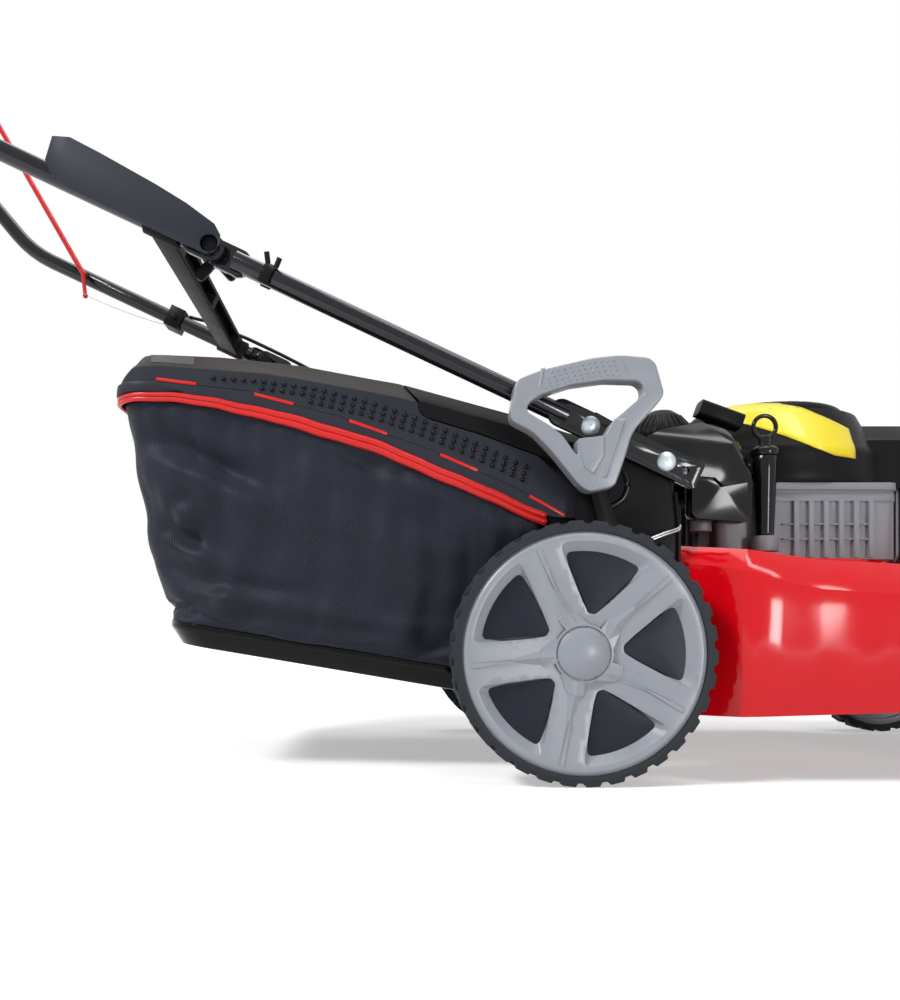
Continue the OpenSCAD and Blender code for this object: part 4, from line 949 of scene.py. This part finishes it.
def spokeRibs(place, r, w, body, tag):
    def faceDepth(share):
        # depth of the spoke's outer face, as the rim's profile gives it
        return lerp([(r * 0.34, w - 9), (r - 24.4, w - 0.5)], share * r)

    low, high = wheel["tongueRise"] * 1.1, wheel["tongueRise"] * 1.6
    tongue = [(-1, -0.6), (-0.8, high), (-0.5, low), (0.5, low), (0.8, high), (1, -0.6)]
    roof = [(-1, -0.6), (0, wheel["roofRise"]), (1, -0.6)]
    forms = []
    for angle in wheel["angles"]:
        for kind, start, profile in (("tongue", 0.52, tongue), ("roof", 0.34, roof)):
            a, b, wide0, wide1 = wheel[kind]
            forms.append(spokeForm(place, angle, (a * r, b * r), (wide0 * r, wide1 * r),
                                   (faceDepth(start), faceDepth(b)), profile))
    addMesh("spokeRibs" + tag, *joinParts(forms), body, "grey_plastic", smooth=False)


def hubCollar(place, r, w, body, tag):
    # a faceted collar round the dome; its points run out along the spokes
    points, faces = [], []
    dome = wheel["dome"] * r
    for angle in wheel["angles"]:
        for off, reach, depth in ((-36, 0.255, w - 12.6), (-13, 0.315, w - 8.6), (0, 0.335, w - 5.6),
                                  (13, 0.315, w - 8.6)):
            way = direction(angle + off)
            points += [place(way * dome * 1.06, w - 6.5), place(way * reach * r, depth),
                       place(way * (reach + 0.03) * r, depth - 5)]
    n = len(points)
    for i in range(0, n, 3):
        faces.extend((i + k, (i + k + 3) % n, (i + k + 4) % n, i + k + 1) for k in (0, 1))
    addMesh("hubCollar" + tag, points, faces, body, "grey_plastic", smooth=False)


def hubDome(place, r, w, body, tag):
    # the dome, with a thin groove round it; the profile is share of its radius and depth
    profile = [(0.15, w + 0.45), (0.3, w), (0.5, w - 1.3), (0.7, w - 3.2), (0.86, w - 5.4), (0.95, w - 7),
               (0.97, w - 8.6), (1.0, w - 8.6), (1.03, w - 6.3), (1.09, w - 6.6), (1.1, w - 10)]
    n, dome = wheel["sides"], wheel["dome"] * r
    points = [place((0, 0), w + 0.6)]
    for share, depth in profile:
        points.extend(place(direction(360 * k / n) * share * dome, depth) for k in range(n))
    faces = [(0, 1 + k, 1 + (k + 1) % n) for k in range(n)] + gridFaces(len(profile), n, True, start=1)
    sharpFrom(addMesh("hubDome" + tag, points, faces, body, "grey_plastic"), 30)


def windowPlates(place, r, w, body, tag):
    # dark plates at the bottom of the windows, a little higher in their middle
    web = w * 0.55 + 8.5
    near, far = (share * r for share in wheel["window"])
    half = wheel["windowHalf"]
    plates = []
    for angle in wheel["angles"]:
        out = direction(angle + 36)
        across = Vector((-out.y, out.x))
        loop = [(near, 0)] + [tuple(direction(-half + 2 * half * k / 8) * far) for k in range(9)]
        loop = smoothLoop(loop, 6, 3)
        points = [place(out * (0.55 * r), web + 1.2)]
        points += [place(out * px + across * py, web) for px, py in loop]
        n = len(loop)
        plates.append((points, [(0, 1 + i, 1 + (i + 1) % n) for i in range(n)]))
    addMesh("windowPlates" + tag, *joinParts(plates), body, "windowPlate")


def wheelDetails(end, side):
    low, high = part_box("_".join((end, "rim", side)))
    tyreLow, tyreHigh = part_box("_".join((end, "tyre", side)))
    inner, outer = sorted((abs(low.y) * 1000, abs(high.y) * 1000))
    sign = -1 if low.y < 0 else 1
    hubAhead, _, hubUp = fromAt((low + high) / 2)

    def place(p, depth):
        # the wheel's own plane is ahead and up from the hub, and depth runs outward
        return at(hubAhead + p[0], sign * (inner + depth), hubUp + p[1])

    r, w = (tyreHigh.z - tyreLow.z) * 500, outer - inner
    body, tag = "_".join(("wheel", end, side)), end.title() + side.title()
    for make in (spokeRibs, hubCollar, hubDome, windowPlates):
        make(place, r, w, body, tag)


for end in ("rear", "front"):
    for side in ("right", "left"):
        wheelDetails(end, side)
print("wheels done")

# the bare yellow label lies round the recoil housing; r gives the housing's radius at a height
label = {"from": -99, "to": 60, "columns": 40, "rows": 10, "thick": 0.0006,
         "top": [(-99, 440.5), (-80, 447), (-64.5, 452), (-19, 447.6), (17, 430), (60, 412)],
         "low": [(-99, 439.5), (-95, 436), (-65, 419.6), (5, 383), (30, 374), (60, 372)],
         "r": [(348, 142.2), (375, 140), (378, 140.1), (382, 139.8), (386, 138.7), (390, 136.7),
               (392.7, 134.5), (438, 112.3), (446, 97.6), (450, 94), (452.3, 90)],
         "proud": 0.9, "engine": 300}
points = []
for i in range(label["columns"] + 1):
    x = label["from"] + (label["to"] - label["from"]) * i / label["columns"]
    low, high = lerp(label["low"], x), lerp(label["top"], x)
    for k in range(label["rows"] + 1):
        z = low + (high - low) * k / label["rows"]
        r = lerp(label["r"], z) + label["proud"]
        points.append(at(label["engine"] + x, -math.sqrt(max(1, r * r - x * x)), z))
faces = gridFaces(label["columns"] + 1, label["rows"] + 1, flip=True)
thicken(addMesh("labelPlate", points, faces, "deck", "labelPlate"), label["thick"])

# a glossy bead lies on each handle bracket behind the lever
for side, tag in ((-1, "Right"), (1, "Left")):
    bead = [(57, 342), (60.5, 331), (60, 320), (52, 308), (29, 296)]
    wirePiece("bracketBead" + tag, [(x, side * 215.4, z) for x, z in bead], 3.2, "deck", "gloss_black")

# nodes that stay: width of the rounded edge in millimetres and the angle from which an edge is rounded
rounding = {"control_hood": (2.6, 32), "air_filter_box": (0.8, 5), "starter_grip": (1.2, 32),
            "lower_handle": (1.0, 32), "flywheel": (0.3, 32), "blade": (0.3, 32),
            "lid_inserts": (0.4, 32), "foam_grip": (1.5, 32), "tie_rod": (0.4, 32),
            "deck_shell": (1.2, 24), "bag_tray": (1.2, 32)}
replaced = {"bag_fabric", "bag_lid", "bag_piping", "lever_grip", "assist_spring", "brake_cable"}
for name, obj in nodes.items():
    if name not in replaced:
        softenNode(obj, *rounding.get(name, ()))

# the brake cable's sheath: a copy of its node, bowed out round the flap
handle = {"bolt": (102, 351.5), "tilt": 25.2, "bendFrom": 520, "bendTo": 600}
bow = {"from": -60, "length": 190, "out": 0.013}


def handleAt(along):
    # a point on the handle's middle line, so far up from its lower bolt
    tilt = math.radians(handle["tilt"])
    return at(handle["bolt"][0] - along * math.cos(tilt), 0, handle["bolt"][1] + along * math.sin(tilt))


def buildSheath():
    mesh = bpy.data.meshes.new("brakeSheath")
    copied = bmesh.new()
    copied.from_mesh(nodes["brake_cable"].data)
    bmesh.ops.remove_doubles(copied, verts=copied.verts, dist=0.00002)
    copied.transform(nodes["brake_cable"].matrix_world)
    copied.to_mesh(mesh)
    copied.free()
    for v in mesh.vertices:
        # it swings out round the flap, which opens beside it
        share = (fromAt(v.co)[0] - bow["from"]) / bow["length"]
        if 0 < share < 1:
            v.co.y += bow["out"] * math.sin(math.pi * share) ** 2
    obj = addPiece("brakeSheath", mesh, None, "cable_sheath", replaces=("brake_cable",))
    handleAt(handle["bendFrom"])
    handleAt(handle["bendTo"])
    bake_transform(obj)


buildSheath()
print("nodes, beads and cable done")

# a pale floor that keeps the shadow and runs out into white
ground = {"colour": (0.9, 0.9, 0.9), "near": 0.9, "far": 2.4, "glowNear": 0.42, "glowFar": 1.1,
          "drop": 0.0005}


def floorMaterial():
    mat = bpy.data.materials.new("floor")
    mat.use_nodes = True
    tree = mat.node_tree
    shader = setInputs(tree.nodes["Principled BSDF"], {
        "Base Color": (*ground["colour"], 1), "Roughness": 0.9, "Specular IOR Level": 0.1,
        "Emission Color": (1, 1, 1, 1)})
    place = tree.nodes.new("ShaderNodeTexCoord")
    reach = tree.nodes.new("ShaderNodeVectorMath")
    reach.operation = "LENGTH"
    tree.links.new(place.outputs["Object"], reach.inputs[0])
    away = setInputs(tree.nodes.new("ShaderNodeMapRange"), {
        "From Min": ground["near"], "From Max": ground["far"],
        "To Min": ground["glowNear"], "To Max": ground["glowFar"]})
    away.interpolation_type = "SMOOTHSTEP"
    tree.links.new(reach.outputs["Value"], away.inputs["Value"])
    glow = tree.nodes.new("ShaderNodeMath")
    glow.operation = "MULTIPLY"
    tree.links.new(away.outputs["Result"], glow.inputs[1])
    tree.links.new(seenRay(tree), glow.inputs[0])
    tree.links.new(glow.outputs[0], shader.inputs["Emission Strength"])
    return mat


floorMesh = bpy.data.meshes.new("floor")
floorMesh.from_pydata([(-9, -4, 0), (9, -4, 0), (9, 9, 0), (-9, 9, 0)], [], [(0, 1, 2, 3)])
floorMesh.materials.append(floorMaterial())
floor = linkNew("floor", floorMesh)
floor.location.z = -ground["drop"]
